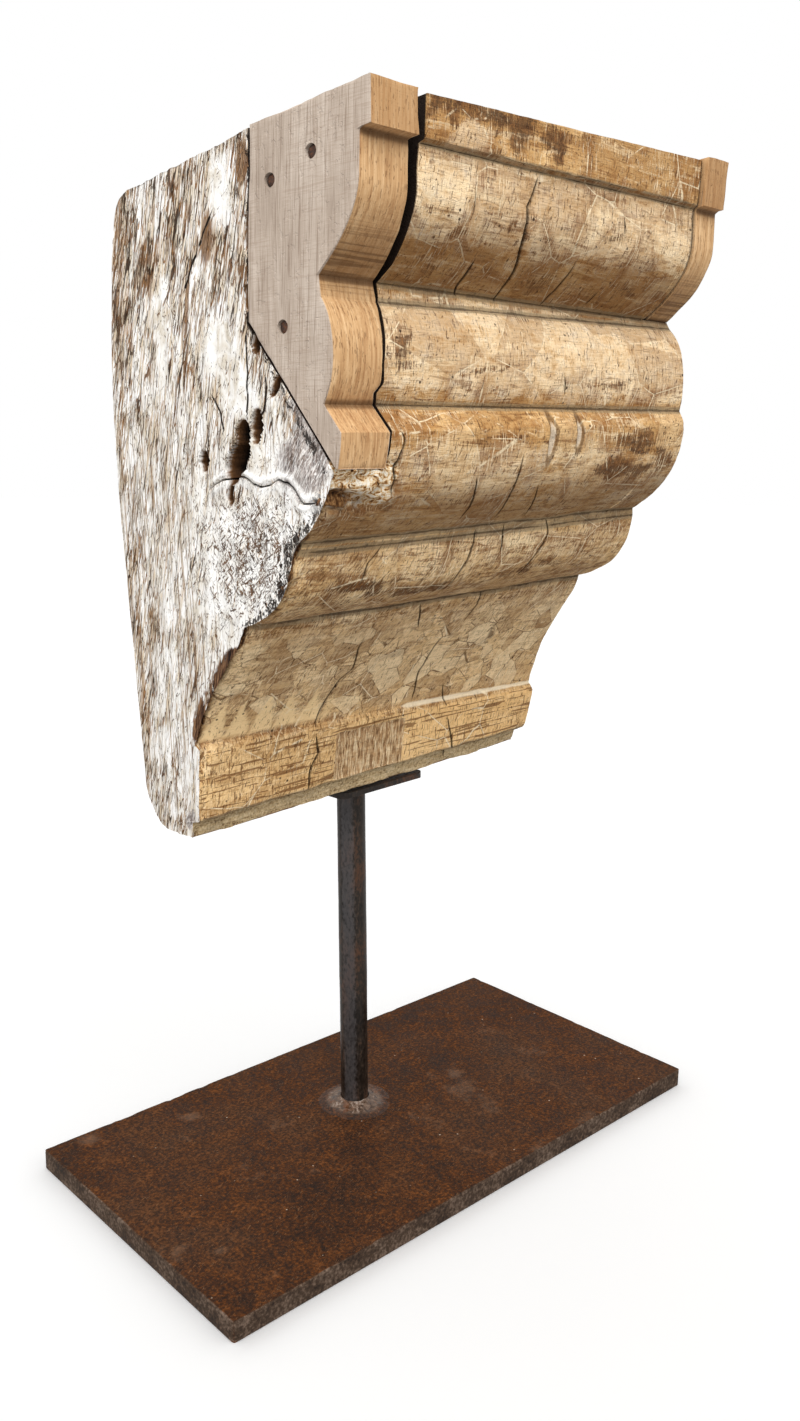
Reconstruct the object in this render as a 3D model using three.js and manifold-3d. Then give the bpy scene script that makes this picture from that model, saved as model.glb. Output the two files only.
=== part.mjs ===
// An old carved timber corbel, mended with nailed end boards, on a rusted steel stand.
// Millimetres, +Z up. The origin is the centre of the base plate's underside.
// +X runs along the plate towards the corbel's right end, and the carved front faces -Y.

import * as THREE from 'three';
import { mergeVertices } from 'three/addons/utils/BufferGeometryUtils.js';
import Module from 'manifold-3d';

const wasm = await Module();
wasm.setup();

const { degToRad, lerp } = THREE.MathUtils;

// Clearance left where two pieces touch
const touchGap = 0.3;

// Steel stand
const plateLength = 320;
const plateDepth = 170;
const plateThickness = 10;
const plateCornerRadius = 3;
const plateBevel = 0.8;
const rodDiameter = 15;
const rodFootX = -8;
const rodFootY = 15.5;
const rodLean = degToRad(1.3);
const rodTurn = degToRad(3);
const seatHeight = 190;
const seatThickness = 3;
const seatLeft = -29.5;
const seatRight = 30;
const seatFront = -25.5;
const seatBack = 12;
const seatRoundRight = 9;
const seatRoundLeft = 2;
const seatBevel = 0.5;
const rodFootLift = 0.5;
const weldInnerRadius = rodDiameter / 2 + 0.6;
const weldOuterRadius = 20;
const weldHeight = 4.5;

// Corbel block, measured from the rod's axis and up from the seat
const blockLeft = -119.7;
const blockRight = 105.5;
const blockWidth = blockRight - blockLeft;

// A line across the block, as (y, z) at its left end and at its right end.
// The old block was cut by hand, so the two ends differ by a few millimetres.
function line(leftY, leftZ, rightY, rightZ) {
  return (t) => new THREE.Vector2(lerp(leftY, rightY, t), lerp(leftZ, rightZ, t));
}

// Lines of the carved front, from the top down. A pull line is a curve's control point.
const filletTop = line(-138.5, 284, -139, 290.5);
const filletFoot = line(-138.5, 270.5, -137.8, 271.5);
const ovoloTop = line(-135.4, 269.6, -135.8, 270.2);
const ovoloTurn = line(-135, 257, -135.8, 256);
const ovoloPull = line(-135, 243, -135.4, 240.5);
const ovoloFoot = line(-114, 226.3, -112.4, 224.5);
const rollTop = line(-115, 219, -114.4, 221.5);
const rollUpperPull = line(-121.5, 212, -123.5, 213);
const rollLowerPull = line(-124, 194, -125.5, 197);
const rollFoot = line(-115.8, 182.8, -121.9, 183.4);
const arris = line(-124.6, 173, -125.2, 177.8);
const torusPull = line(-123.5, 147, -124, 150);
const torusFoot = line(-101.2, 132.4, -97.4, 136.4);
const beadTop = line(-98.5, 128.5, -97.4, 132.9);
const beadPull = line(-96, 105, -95, 107.5);
const beadFoot = line(-68.2, 97.9, -65.9, 100.2);
const ogeeUpperPull = line(-64, 86, -63, 88);
const ogeeLowerPull = line(-40, 68, -40, 68);
const ogeeFoot = line(-31.5, 43, -32.9, 37.8);
const fasciaTop = line(-34, 41, -35.8, 34);
const fasciaFoot = line(-31, 8.5, -31.4, 12);
const revealTop = line(-26.5, 8, -24.4, 9.5);

// Lines of the underside, back and top, from the underside's front edge round to the top
const soleFront = line(-25.6, 0, -22.2, 2.5);
const soleBack = line(-12, 0, -12, 4);
const heelPull = line(4, -1, 4, 4);
const heelTop = line(7.8, 20, 8, 25);
const backLowerPull = line(14, 95, 14, 100);
const backUpperPull = line(26, 190, 26, 195);
const backTop = line(11.5, 258, 12, 264);
const shoulderPull = line(10.5, 267.5, 11, 273.5);
const topBack = line(-1.8, 269.2, -2, 275.5);
const topMiddle = line(-72, 278.6, -72, 285);

// Timber lost from the front's left arris: height, reach along X and Z, and depth
const arrisLosses = [
  { height: 150, reachX: 20, reachZ: 9, depth: 6 },
  { height: 113, reachX: 8, reachZ: 12, depth: 6 },
  { height: 66, reachX: 5, reachZ: 26, depth: 5 },
];

// Rotted knot holes in the left face: centre (y, z), half sizes across, along and deep, and tilt
const knotHoles = [
  { y: -65.5, z: 164, across: 5.2, along: 9.8, deep: 16, tilt: degToRad(20) },
  { y: -77.6, z: 174.5, across: 2.3, along: 4.2, deep: 9, tilt: degToRad(8) },
  { y: -44.8, z: 162, across: 2.3, along: 3.4, deep: 7, tilt: degToRad(8) },
];

// End boards let into the top corners of the front
const boardProud = 2.2;
const leftBoardThickness = 23;
const leftBoardBackTop = new THREE.Vector2(-79.1, 280.2);
const leftBoardBackFoot = new THREE.Vector2(-74.8, 213);
const leftBoardTip = new THREE.Vector2(-119.2, 159.2);
const leftJointGapTop = 2.2;
const leftJointGapFoot = 0.5;
const rightBoardThickness = 17.3;
const rightBoardBack = -80;
const rightJointGap = 0.8;
const boardBackGap = 0.4;

// Nails that hold the left board: place (y, z) on its face
const nailPlaces = [[-111.5, 266.4], [-89.4, 260.2], [-94.7, 210.2]];
const nailHeadRadius = 2.7;
const nailHeadThickness = 1.6;
const nailShankRadius = 1.3;
const nailLength = 17;
const nailSunk = 0.9;
const nailClearance = 0.35;

// Fineness of the facets
const curveSteps = 7;
const roundSides = 32;
const nailSides = 14;
const knotSides = 14;
const knotRings = 10;

function finish(color, roughness, metalness) {
  return new THREE.MeshStandardMaterial({ color, roughness, metalness });
}

function namedMesh(name, geometry, material) {
  const mesh = new THREE.Mesh(geometry, material);
  mesh.name = name;
  return mesh;
}

// Closed solid from a geometry, with its shared vertices merged
function toSolid(geometry) {
  const bare = geometry.clone();
  bare.deleteAttribute('normal');
  bare.deleteAttribute('uv');
  const merged = mergeVertices(bare, 1e-4);
  return new wasm.Manifold(new wasm.Mesh({
    numProp: 3,
    vertProperties: new Float32Array(merged.attributes.position.array),
    triVerts: new Uint32Array(merged.index.array),
  }));
}

function toGeometry(solid) {
  const mesh = solid.getMesh();
  const geometry = new THREE.BufferGeometry();
  geometry.setAttribute('position', new THREE.BufferAttribute(mesh.vertProperties, 3));
  geometry.setIndex(new THREE.BufferAttribute(mesh.triVerts, 1));
  return geometry;
}

function subtractAll(geometry, cutters) {
  const start = toSolid(geometry);
  return toGeometry(cutters.reduce((solid, cutter) => solid.subtract(toSolid(cutter)), start));
}

// Turns a shape drawn in (y, z) into a prism between two places along X
function prismAlongX(shape, fromX, toX) {
  const prism = new THREE.ExtrudeGeometry(shape, {
    depth: toX - fromX,
    bevelEnabled: false,
    curveSegments: curveSteps,
  });
  const turn = new THREE.Matrix4().makeBasis(
    new THREE.Vector3(0, 1, 0),
    new THREE.Vector3(0, 0, 1),
    new THREE.Vector3(1, 0, 0),
  );
  return prism.applyMatrix4(turn.setPosition(fromX, 0, 0));
}

// Solid through matching outlines in (y, z), one at each place along X
function loftAlongX(outlineAt, places) {
  const rings = places.map(outlineAt);
  const count = rings[0].length;
  const positions = [];
  const indices = [];
  rings.forEach((ring, station) => {
    ring.forEach((point) => positions.push(places[station], point.x, point.y));
  });
  for (let station = 0; station < places.length - 1; station += 1) {
    for (let corner = 0; corner < count; corner += 1) {
      const next = (corner + 1) % count;
      const a = station * count + corner;
      const b = station * count + next;
      indices.push(a, b, a + count, b, b + count, a + count);
    }
  }
  const lastRing = (places.length - 1) * count;
  THREE.ShapeUtils.triangulateShape(rings[0], []).forEach(([a, b, c]) => indices.push(a, c, b));
  THREE.ShapeUtils.triangulateShape(rings[rings.length - 1], []).forEach(([a, b, c]) => {
    indices.push(lastRing + a, lastRing + b, lastRing + c);
  });
  const geometry = new THREE.BufferGeometry();
  geometry.setAttribute('position', new THREE.Float32BufferAttribute(positions, 3));
  geometry.setIndex(indices);
  return geometry;
}

function lineToPoint(path, point) {
  path.lineTo(point.x, point.y);
}

function curveToPoint(path, pull, point) {
  path.quadraticCurveTo(pull.x, pull.y, point.x, point.y);
}

function doubleCurveToPoint(path, firstPull, secondPull, point) {
  path.bezierCurveTo(firstPull.x, firstPull.y, secondPull.x, secondPull.y, point.x, point.y);
}

// Fillet and ovolo at the head of the front, drawn downwards from the fillet's top edge
function drawHeadMoulding(path, t, proud) {
  const forward = new THREE.Vector2(-proud, 0);
  lineToPoint(path, filletFoot(t).add(forward));
  lineToPoint(path, ovoloTop(t));
  lineToPoint(path, ovoloTurn(t));
  curveToPoint(path, ovoloPull(t), ovoloFoot(t));
}

// Roll below the ovolo, down to the arris of the torus
function drawRoll(path, t) {
  lineToPoint(path, rollTop(t));
  doubleCurveToPoint(path, rollUpperPull(t), rollLowerPull(t), rollFoot(t));
  lineToPoint(path, arris(t));
}

function frontPoints(t) {
  const path = new THREE.Path();
  const start = filletTop(t);
  path.moveTo(start.x, start.y);
  drawHeadMoulding(path, t, 0);
  drawRoll(path, t);
  curveToPoint(path, torusPull(t), torusFoot(t));
  lineToPoint(path, beadTop(t));
  curveToPoint(path, beadPull(t), beadFoot(t));
  doubleCurveToPoint(path, ogeeUpperPull(t), ogeeLowerPull(t), ogeeFoot(t));
  lineToPoint(path, fasciaTop(t));
  lineToPoint(path, fasciaFoot(t));
  lineToPoint(path, revealTop(t));
  return path.getPoints(curveSteps);
}

function backPoints(t) {
  const path = new THREE.Path();
  const start = soleFront(t);
  path.moveTo(start.x, start.y);
  lineToPoint(path, soleBack(t));
  curveToPoint(path, heelPull(t), heelTop(t));
  doubleCurveToPoint(path, backLowerPull(t), backUpperPull(t), backTop(t));
  curveToPoint(path, shoulderPull(t), topBack(t));
  lineToPoint(path, topMiddle(t));
  return path.getPoints(curveSteps);
}

function lossAt(x, z) {
  return arrisLosses.reduce((sum, loss) => {
    const alongX = (x - blockLeft) / loss.reachX;
    const alongZ = (z - loss.height) / loss.reachZ;
    return sum + loss.depth * Math.exp(-alongX * alongX - alongZ * alongZ);
  }, 0);
}

function blockOutline(x) {
  const t = (x - blockLeft) / blockWidth;
  const front = frontPoints(t);
  front.forEach((point) => {
    point.x += lossAt(x, point.y);
  });
  return [...front, ...backPoints(t)];
}

// Recess for the left board: its joint stands open at the top and closes downwards
function leftRecess() {
  const clear = 40;
  const slope = leftBoardBackFoot.clone().sub(leftBoardTip).normalize();
  const away = new THREE.Vector2(slope.y, -slope.x).multiplyScalar(boardBackGap);
  const beyondTip = leftBoardTip.clone().addScaledVector(slope, -clear).add(away);
  const foot = leftBoardBackFoot.clone().add(away);
  const top = leftBoardBackTop.clone().add(new THREE.Vector2(boardBackGap, clear));
  const shape = new THREE.Shape([
    top,
    new THREE.Vector2(beyondTip.x - clear, top.y),
    new THREE.Vector2(beyondTip.x - clear, beyondTip.y),
    beyondTip,
    foot,
    leftBoardBackTop.clone().add(new THREE.Vector2(boardBackGap, 0)),
  ]);
  const innerFace = blockLeft + leftBoardThickness;
  const recess = prismAlongX(shape, blockLeft - clear, innerFace);
  const { position } = recess.attributes;
  const height = leftBoardBackTop.y - leftBoardTip.y;
  for (let i = 0; i < position.count; i += 1) {
    if (position.getX(i) > blockLeft) {
      const rise = (position.getZ(i) - leftBoardTip.y) / height;
      position.setX(i, innerFace + lerp(leftJointGapFoot, leftJointGapTop, Math.max(rise, 0)));
    }
  }
  return recess;
}

function rightRecess() {
  const clear = 40;
  const back = rightBoardBack + boardBackGap;
  const foot = ovoloFoot(1).y - boardBackGap;
  const front = filletTop(1).x - clear;
  const shape = new THREE.Shape([
    new THREE.Vector2(back, foot),
    new THREE.Vector2(back, filletTop(1).y + clear),
    new THREE.Vector2(front, filletTop(1).y + clear),
    new THREE.Vector2(front, foot),
  ]);
  const innerFace = blockRight - rightBoardThickness - rightJointGap;
  return prismAlongX(shape, innerFace, blockRight + clear);
}

function knotHole(knot) {
  const hole = new THREE.SphereGeometry(1, knotSides, knotRings);
  hole.scale(knot.deep, knot.across, knot.along);
  hole.rotateX(knot.tilt);
  return hole.translate(blockLeft, knot.y, knot.z);
}

function corbelBlock() {
  const nearArris = [0, 2.5, 6, 11, 17].map((step) => blockLeft + step);
  const bays = 8;
  const firstBay = blockLeft + 25;
  const across = Array.from({ length: bays + 1 }, (_, i) => lerp(firstBay, blockRight, i / bays));
  const block = loftAlongX(blockOutline, [...nearArris, ...across]);
  return subtractAll(block, [leftRecess(), rightRecess(), ...knotHoles.map(knotHole)]);
}

// Nail along +X with its head's outer face at the origin
function nailShape(radiusGrowth, lengthGrowth) {
  const head = nailHeadRadius + radiusGrowth;
  const shank = nailShankRadius + radiusGrowth;
  const underHead = nailHeadThickness + lengthGrowth;
  const profile = [
    new THREE.Vector2(0, 0),
    new THREE.Vector2(head * 0.8, 0),
    new THREE.Vector2(head, nailHeadThickness * 0.3),
    new THREE.Vector2(head, underHead),
    new THREE.Vector2(shank, underHead),
    new THREE.Vector2(shank, nailLength + lengthGrowth),
    new THREE.Vector2(0, nailLength + lengthGrowth),
  ];
  return new THREE.LatheGeometry(profile, nailSides).rotateZ(-Math.PI / 2);
}

// Hole for one nail, open through the board's face
function nailHole(y, z) {
  const radius = nailHeadRadius + nailClearance;
  const depth = 2 * (nailSunk + nailHeadThickness);
  const mouth = new THREE.CylinderGeometry(radius, radius, depth, nailSides)
    .rotateZ(-Math.PI / 2)
    .translate(blockLeft, y, z);
  const bore = nailShape(nailClearance, nailClearance).translate(blockLeft + nailSunk, y, z);
  return [mouth, bore];
}

function leftEndBoard() {
  const path = new THREE.Shape();
  const top = filletTop(0).add(new THREE.Vector2(-boardProud, boardProud * 0.6));
  path.moveTo(leftBoardBackTop.x, leftBoardBackTop.y);
  lineToPoint(path, top);
  drawHeadMoulding(path, 0, boardProud);
  drawRoll(path, 0);
  const torusBend = new THREE.Vector2(arris(0).x + 0.6, lerp(arris(0).y, leftBoardTip.y, 0.5));
  curveToPoint(path, torusBend, leftBoardTip);
  lineToPoint(path, leftBoardBackFoot);
  path.closePath();
  const board = prismAlongX(path, blockLeft, blockLeft + leftBoardThickness);
  return subtractAll(board, nailPlaces.flatMap(([y, z]) => nailHole(y, z)));
}

function rightEndBoard() {
  const path = new THREE.Shape();
  const top = filletTop(1).add(new THREE.Vector2(-boardProud, boardProud * 0.5));
  path.moveTo(rightBoardBack, top.y - 4);
  lineToPoint(path, top);
  drawHeadMoulding(path, 1, boardProud);
  path.lineTo(rightBoardBack, ovoloFoot(1).y);
  path.closePath();
  return prismAlongX(path, blockRight - rightBoardThickness, blockRight);
}

function roundedRectangle(left, right, front, back, leftRadius, rightRadius) {
  const shape = new THREE.Shape();
  shape.moveTo(left + leftRadius, front);
  shape.lineTo(right - rightRadius, front);
  shape.absarc(right - rightRadius, front + rightRadius, rightRadius, -Math.PI / 2, 0);
  shape.absarc(right - rightRadius, back - rightRadius, rightRadius, 0, Math.PI / 2);
  shape.absarc(left + leftRadius, back - leftRadius, leftRadius, Math.PI / 2, Math.PI);
  shape.absarc(left + leftRadius, front + leftRadius, leftRadius, Math.PI, Math.PI * 1.5);
  return shape;
}

// Flat plate with softened edges, its underside at z = 0
function steelPlate(shape, thickness, bevel) {
  return new THREE.ExtrudeGeometry(shape, {
    depth: thickness - 2 * bevel,
    bevelThickness: bevel,
    bevelSize: bevel,
    bevelOffset: -bevel,
    bevelSegments: 2,
    curveSegments: curveSteps,
  }).translate(0, 0, bevel);
}

function basePlate() {
  const shape = roundedRectangle(
    -plateLength / 2,
    plateLength / 2,
    -plateDepth / 2,
    plateDepth / 2,
    plateCornerRadius,
    plateCornerRadius,
  );
  return steelPlate(shape, plateThickness, plateBevel);
}

function seatPlate() {
  const shape = roundedRectangle(
    seatLeft,
    seatRight,
    seatFront,
    seatBack,
    seatRoundLeft,
    seatRoundRight,
  );
  return steelPlate(shape, seatThickness, seatBevel);
}

function rod() {
  const top = seatHeight - seatThickness - 2 * touchGap;
  const length = top - rodFootLift;
  return new THREE.CylinderGeometry(rodDiameter / 2, rodDiameter / 2, length, roundSides)
    .rotateX(Math.PI / 2)
    .translate(0, 0, rodFootLift + length / 2);
}

// Hand-laid ring of weld, swelling and shrinking round the rod's foot
function weldBead() {
  const band = weldOuterRadius - weldInnerRadius;
  const slopeSteps = 6;
  const slope = Array.from({ length: slopeSteps + 1 }, (_, i) => {
    const share = 1 - i / slopeSteps;
    return new THREE.Vector2(
      weldInnerRadius + band * share,
      touchGap + weldHeight * (1 - share) ** 1.6,
    );
  });
  const start = new THREE.Vector2(weldInnerRadius, touchGap);
  const outline = [start, ...slope, start.clone()];
  const bead = new THREE.LatheGeometry(outline, roundSides).rotateX(Math.PI / 2);
  const { position } = bead.attributes;
  for (let i = 0; i < position.count; i += 1) {
    const x = position.getX(i);
    const y = position.getY(i);
    const turn = Math.atan2(y, x);
    const radius = Math.hypot(x, y);
    const swell = 0.16 * Math.sin(5 * turn + 0.6) + 0.1 * Math.sin(9 * turn + 2);
    const share = (radius - weldInnerRadius) / band;
    const grown = (radius + band * share * swell) / radius;
    const lifted = touchGap + (position.getZ(i) - touchGap) * (1 + swell);
    position.setXYZ(i, x * grown, y * grown, lifted);
  }
  return bead.translate(rodFootX, rodFootY, plateThickness);
}

const rustedPlate = finish(0x4a2c1e, 0.75, 0.5);
const darkSteel = finish(0x2b241f, 0.6, 0.6);
const weldSteel = finish(0x55463b, 0.5, 0.6);
const paintedTimber = finish(0xc9ad84, 0.85, 0);
const planedTimber = finish(0xb9a48c, 0.8, 0);
const freshTimber = finish(0xc9985c, 0.8, 0);
const nailIron = finish(0x3a2a20, 0.7, 0.4);

const stand = new THREE.Group();
stand.add(namedMesh('base_plate', basePlate(), rustedPlate));
stand.add(namedMesh('weld_bead', weldBead(), weldSteel));

// The rod leans a little to the left, and carries its seat plate and the corbel with it
const leaning = new THREE.Group();
leaning.position.set(rodFootX, rodFootY, plateThickness);
leaning.rotation.set(0, -rodLean, rodTurn, 'ZYX');
leaning.add(namedMesh('rod', rod(), darkSteel));
const seat = namedMesh('seat_plate', seatPlate(), darkSteel.clone());
seat.position.z = seatHeight - seatThickness - touchGap;
leaning.add(seat);

const corbel = new THREE.Group();
corbel.position.z = seatHeight;
corbel.add(namedMesh('corbel_block', corbelBlock(), paintedTimber));
corbel.add(namedMesh('left_end_board', leftEndBoard(), planedTimber));
corbel.add(namedMesh('right_end_board', rightEndBoard(), freshTimber));
nailPlaces.forEach(([y, z], i) => {
  const nail = namedMesh(`nail_${i + 1}`, nailShape(0, 0), nailIron.clone());
  nail.position.set(blockLeft + nailSunk, y, z);
  corbel.add(nail);
});
leaning.add(corbel);

const corbelOnStand = new THREE.Group();
corbelOnStand.add(stand, leaning);

export default corbelOnStand;
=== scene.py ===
"""A carved timber corbel, mended with two end boards, on a rusted steel stand.

Lengths are in millimetres until a mesh is made, and then in metres.
The corbel is described in its own directions: x along its width, y from the rod backwards
(the carved front is on the negative side), and z up from the top of the seat plate.
"""
import math

import bmesh
import bpy
import numpy as np
from mathutils import Matrix, Vector


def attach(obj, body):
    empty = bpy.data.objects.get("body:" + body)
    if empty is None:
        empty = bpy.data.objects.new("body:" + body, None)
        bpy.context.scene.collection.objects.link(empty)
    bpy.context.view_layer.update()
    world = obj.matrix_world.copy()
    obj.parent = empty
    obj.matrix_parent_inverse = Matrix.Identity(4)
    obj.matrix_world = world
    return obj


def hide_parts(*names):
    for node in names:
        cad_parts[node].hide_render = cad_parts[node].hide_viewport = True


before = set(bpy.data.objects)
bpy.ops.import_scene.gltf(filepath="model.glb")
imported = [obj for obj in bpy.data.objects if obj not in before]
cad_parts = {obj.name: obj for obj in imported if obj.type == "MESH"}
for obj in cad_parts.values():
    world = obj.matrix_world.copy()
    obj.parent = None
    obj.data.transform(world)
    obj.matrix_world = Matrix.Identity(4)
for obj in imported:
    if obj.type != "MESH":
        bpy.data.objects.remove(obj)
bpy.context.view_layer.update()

MM = 0.001

# Stand
plate_length = 320.0
plate_depth = 170.0
plate_thickness = 10.0
plate_corner_radius = 3.0
plate_edge_radius = 0.9
rod_radius = 7.5
rod_foot = (-8.0, 15.5)
rod_lean = math.radians(1.3)
rod_turn = math.radians(3.0)
rod_foot_lift = 0.5
seat_height = 190.0
seat_thickness = 3.0
seat_left = -29.5
seat_right = 30.0
seat_front = -25.5
seat_back = 12.0
seat_corner_radius = 6.0
weld_inner_radius = rod_radius + 0.4
weld_outer_radius = 20.0
weld_height = 4.5

# Corbel block
block_left = -119.7
block_right = 105.5
block_width = block_right - block_left
row_spacing = 1.25
column_spacing = 1.4
curve_for_chord = 1.12

# End boards
board_proud = 2.2
left_board_inner = -96.7
left_board_back_top = (-79.1, 280.2)
left_board_back_foot = (-74.8, 213.0)
left_board_tip_height = 159.2
right_board_inner = 88.2
right_board_back = -80.0
right_joint_gap = 1.6
board_back_gap = 0.4
left_recess_top = 279.1
right_recess_top = 285.2
wall_margin = 4.0
recess_spread = 3.0

# Nails through the left board: depth and height of each head
nail_places = {
    "nail_head_1": (-111.5, 266.4),
    "nail_head_2": (-89.4, 260.2),
    "nail_head_3": (-94.7, 210.2),
}
nail_sunk = 0.9
nail_hole_radius = 3.1
nail_hole_depth = 5.0


# Small tools for points and noise

def lattice_value(corner, seed):
    """A fixed number from 0 to 1 for each whole-number corner."""
    mixed = corner[..., 0] * 73856093 ^ corner[..., 1] * 19349663 ^ corner[..., 2] * 83492791
    mixed = (mixed ^ seed * 2654435761) & 0xFFFFFFFF
    mixed = ((mixed ^ mixed >> 15) * 2246822519) & 0xFFFFFFFF
    mixed = ((mixed ^ mixed >> 13) * 3266489917) & 0xFFFFFFFF
    return ((mixed ^ mixed >> 16) & 0xFFFF) / 65535.0


def soft_noise(points, size, seed):
    """Smooth noise from -1 to 1; size is the length of a bump along x, y and z."""
    scaled = points / np.asarray(size, float)
    base = np.floor(scaled).astype(np.int64)
    part = scaled - base
    part = part * part * (3 - 2 * part)
    total = np.zeros(scaled.shape[:-1])
    for step in np.ndindex(2, 2, 2):
        weight = np.prod(np.where(np.array(step) == 1, part, 1 - part), axis=-1)
        total += weight * lattice_value(base + np.array(step), seed)
    return total * 2 - 1


def fractal(points, size, seed, octaves=3):
    """Noise with finer bumps added, each half as long and half as high."""
    size = np.broadcast_to(np.asarray(size, float), (3,))
    total = 0
    for octave in range(octaves):
        total = total + soft_noise(points, size / 2 ** octave, seed + 31 * octave) / 2 ** octave
    return total


def smooth(value, low, high):
    """0 below low, 1 above high, and a soft step between them."""
    share = np.clip((value - low) / (high - low), 0, 1)
    return share * share * (3 - 2 * share)


def window(value, rise_start, rise_end, fall_start, fall_end):
    """1 from rise_end to fall_start, with soft steps to 0 outside them."""
    return smooth(value, rise_start, rise_end) * smooth(-value, -fall_end, -fall_start)


def bell(*offsets):
    """1 where every offset is 0, falling off softly to 0 where any one is well over 1."""
    return np.exp(-sum(np.square(offset) for offset in offsets))


def bezier(pulls, shares):
    """Points on a curve with the given pulls, one row for each share."""
    step = shares[:, None, None]
    level = [np.broadcast_to(pull, (len(shares),) + pull.shape) for pull in pulls]
    while len(level) > 1:
        level = [before * (1 - step) + after * step for before, after in zip(level, level[1:])]
    return level[0]


def along(points, shares):
    """Points at the given shares of a polyline's length."""
    points = np.asarray(points, float)
    lengths = np.concatenate([[0], np.cumsum(np.linalg.norm(np.diff(points, axis=0), axis=1))])
    places = np.asarray(shares) * lengths[-1]
    return np.stack([np.interp(places, lengths, column) for column in points.T], axis=-1)


# The corbel's moulded lines

def line(left_y, left_z, right_y, right_z):
    """A moulding line: its depth and height at the left end, then at the right end."""
    return np.array([[left_y, left_z], [right_y, right_z]], float)


fillet_top = line(-138.5, 284.0, -139.0, 290.5)
fillet_foot = line(-138.5, 270.5, -137.8, 271.5)
ovolo_top = line(-135.4, 269.6, -135.8, 270.2)
ovolo_turn = line(-135.0, 257.0, -135.8, 256.0)
ovolo_pull = line(-135.0, 243.0, -135.4, 240.5)
ovolo_foot = line(-114.0, 226.3, -112.4, 224.5)
roll_top = line(-115.0, 219.0, -114.4, 221.5)
roll_upper_pull = line(-121.5, 212.0, -123.5, 213.0)
roll_lower_pull = line(-124.0, 194.0, -125.5, 197.0)
roll_foot = line(-115.8, 182.8, -121.9, 183.4)
arris = line(-124.6, 173.0, -125.2, 177.8)
torus_pull = line(-123.5, 147.0, -124.0, 150.0)
torus_foot = line(-101.2, 132.4, -97.4, 136.4)
bead_top = line(-98.5, 128.5, -97.4, 132.9)
bead_pull = line(-96.0, 105.0, -95.0, 107.5)
bead_foot = line(-68.2, 97.9, -65.9, 100.2)
ogee_upper_pull = line(-64.0, 86.0, -63.0, 88.0)
ogee_lower_pull = line(-40.0, 68.0, -40.0, 68.0)
ogee_foot = line(-31.5, 43.0, -32.9, 37.8)
fascia_top = line(-34.0, 41.0, -35.8, 34.0)
fascia_foot = line(-31.0, 8.5, -31.4, 12.0)
reveal_top = line(-26.5, 8.0, -24.4, 9.5)
sole_front = line(-25.6, 0.0, -22.2, 2.5)
sole_back = line(-12.0, 0.0, -12.0, 4.0)
heel_pull = line(4.0, -1.0, 4.0, 4.0)
heel_top = line(7.8, 20.0, 8.0, 25.0)
back_lower_pull = line(14.0, 95.0, 14.0, 100.0)
back_upper_pull = line(26.0, 190.0, 26.0, 195.0)
back_top = line(11.5, 258.0, 12.0, 264.0)
shoulder_pull = line(10.5, 267.5, 11.0, 273.5)
top_back = line(-1.8, 269.2, -2.0, 275.5)
top_middle = line(-72.0, 278.6, -72.0, 285.0)

head_path = [
    (fillet_top, fillet_foot),
    (fillet_foot, ovolo_top),
    (ovolo_top, ovolo_turn),
    (ovolo_turn, ovolo_pull, ovolo_foot),
]
middle_path = [
    (ovolo_foot, roll_top),
    (roll_top, roll_upper_pull, roll_lower_pull, roll_foot),
    (roll_foot, arris),
    (arris, torus_pull, torus_foot),
]
lower_path = [
    (torus_foot, bead_top),
    (bead_top, bead_pull, bead_foot),
    (bead_foot, ogee_upper_pull, ogee_lower_pull, ogee_foot),
    (ogee_foot, fascia_top),
    (fascia_top, fascia_foot),
    (fascia_foot, reveal_top),
    (reveal_top, sole_front),
]
back_path = [
    (top_back, shoulder_pull, back_top),
    (back_top, back_upper_pull, back_lower_pull, heel_top),
    (heel_top, heel_pull, sole_back),
]


def at_share(moulding_line, shares):
    """A moulding line's depth and height at shares of the corbel's width."""
    shares = np.asarray(shares, float)[..., None]
    return moulding_line[0] * (1 - shares) + moulding_line[1] * shares


def profile(path, shares, spacing):
    """Rows of depth and height along a path, at shares of the width, with a row on every arris."""
    rows = []
    for piece in path:
        pulls = [at_share(moulding_line, shares) for moulding_line in piece]
        length = np.linalg.norm(piece[0][0] - piece[-1][0]) * (curve_for_chord if len(piece) > 2 else 1)
        count = max(2, math.ceil(length / spacing))
        rows.append(bezier(pulls, np.arange(count) / count))
    rows.append(at_share(path[-1][-1], shares)[None])
    return np.concatenate(rows)


def share_of(x):
    """How far along the corbel's width a place is, from 0 to 1."""
    return (np.asarray(x, float) - block_left) / block_width


# Checks (drying cracks) on the front: width, then places across and up the face, from top to bottom

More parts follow.
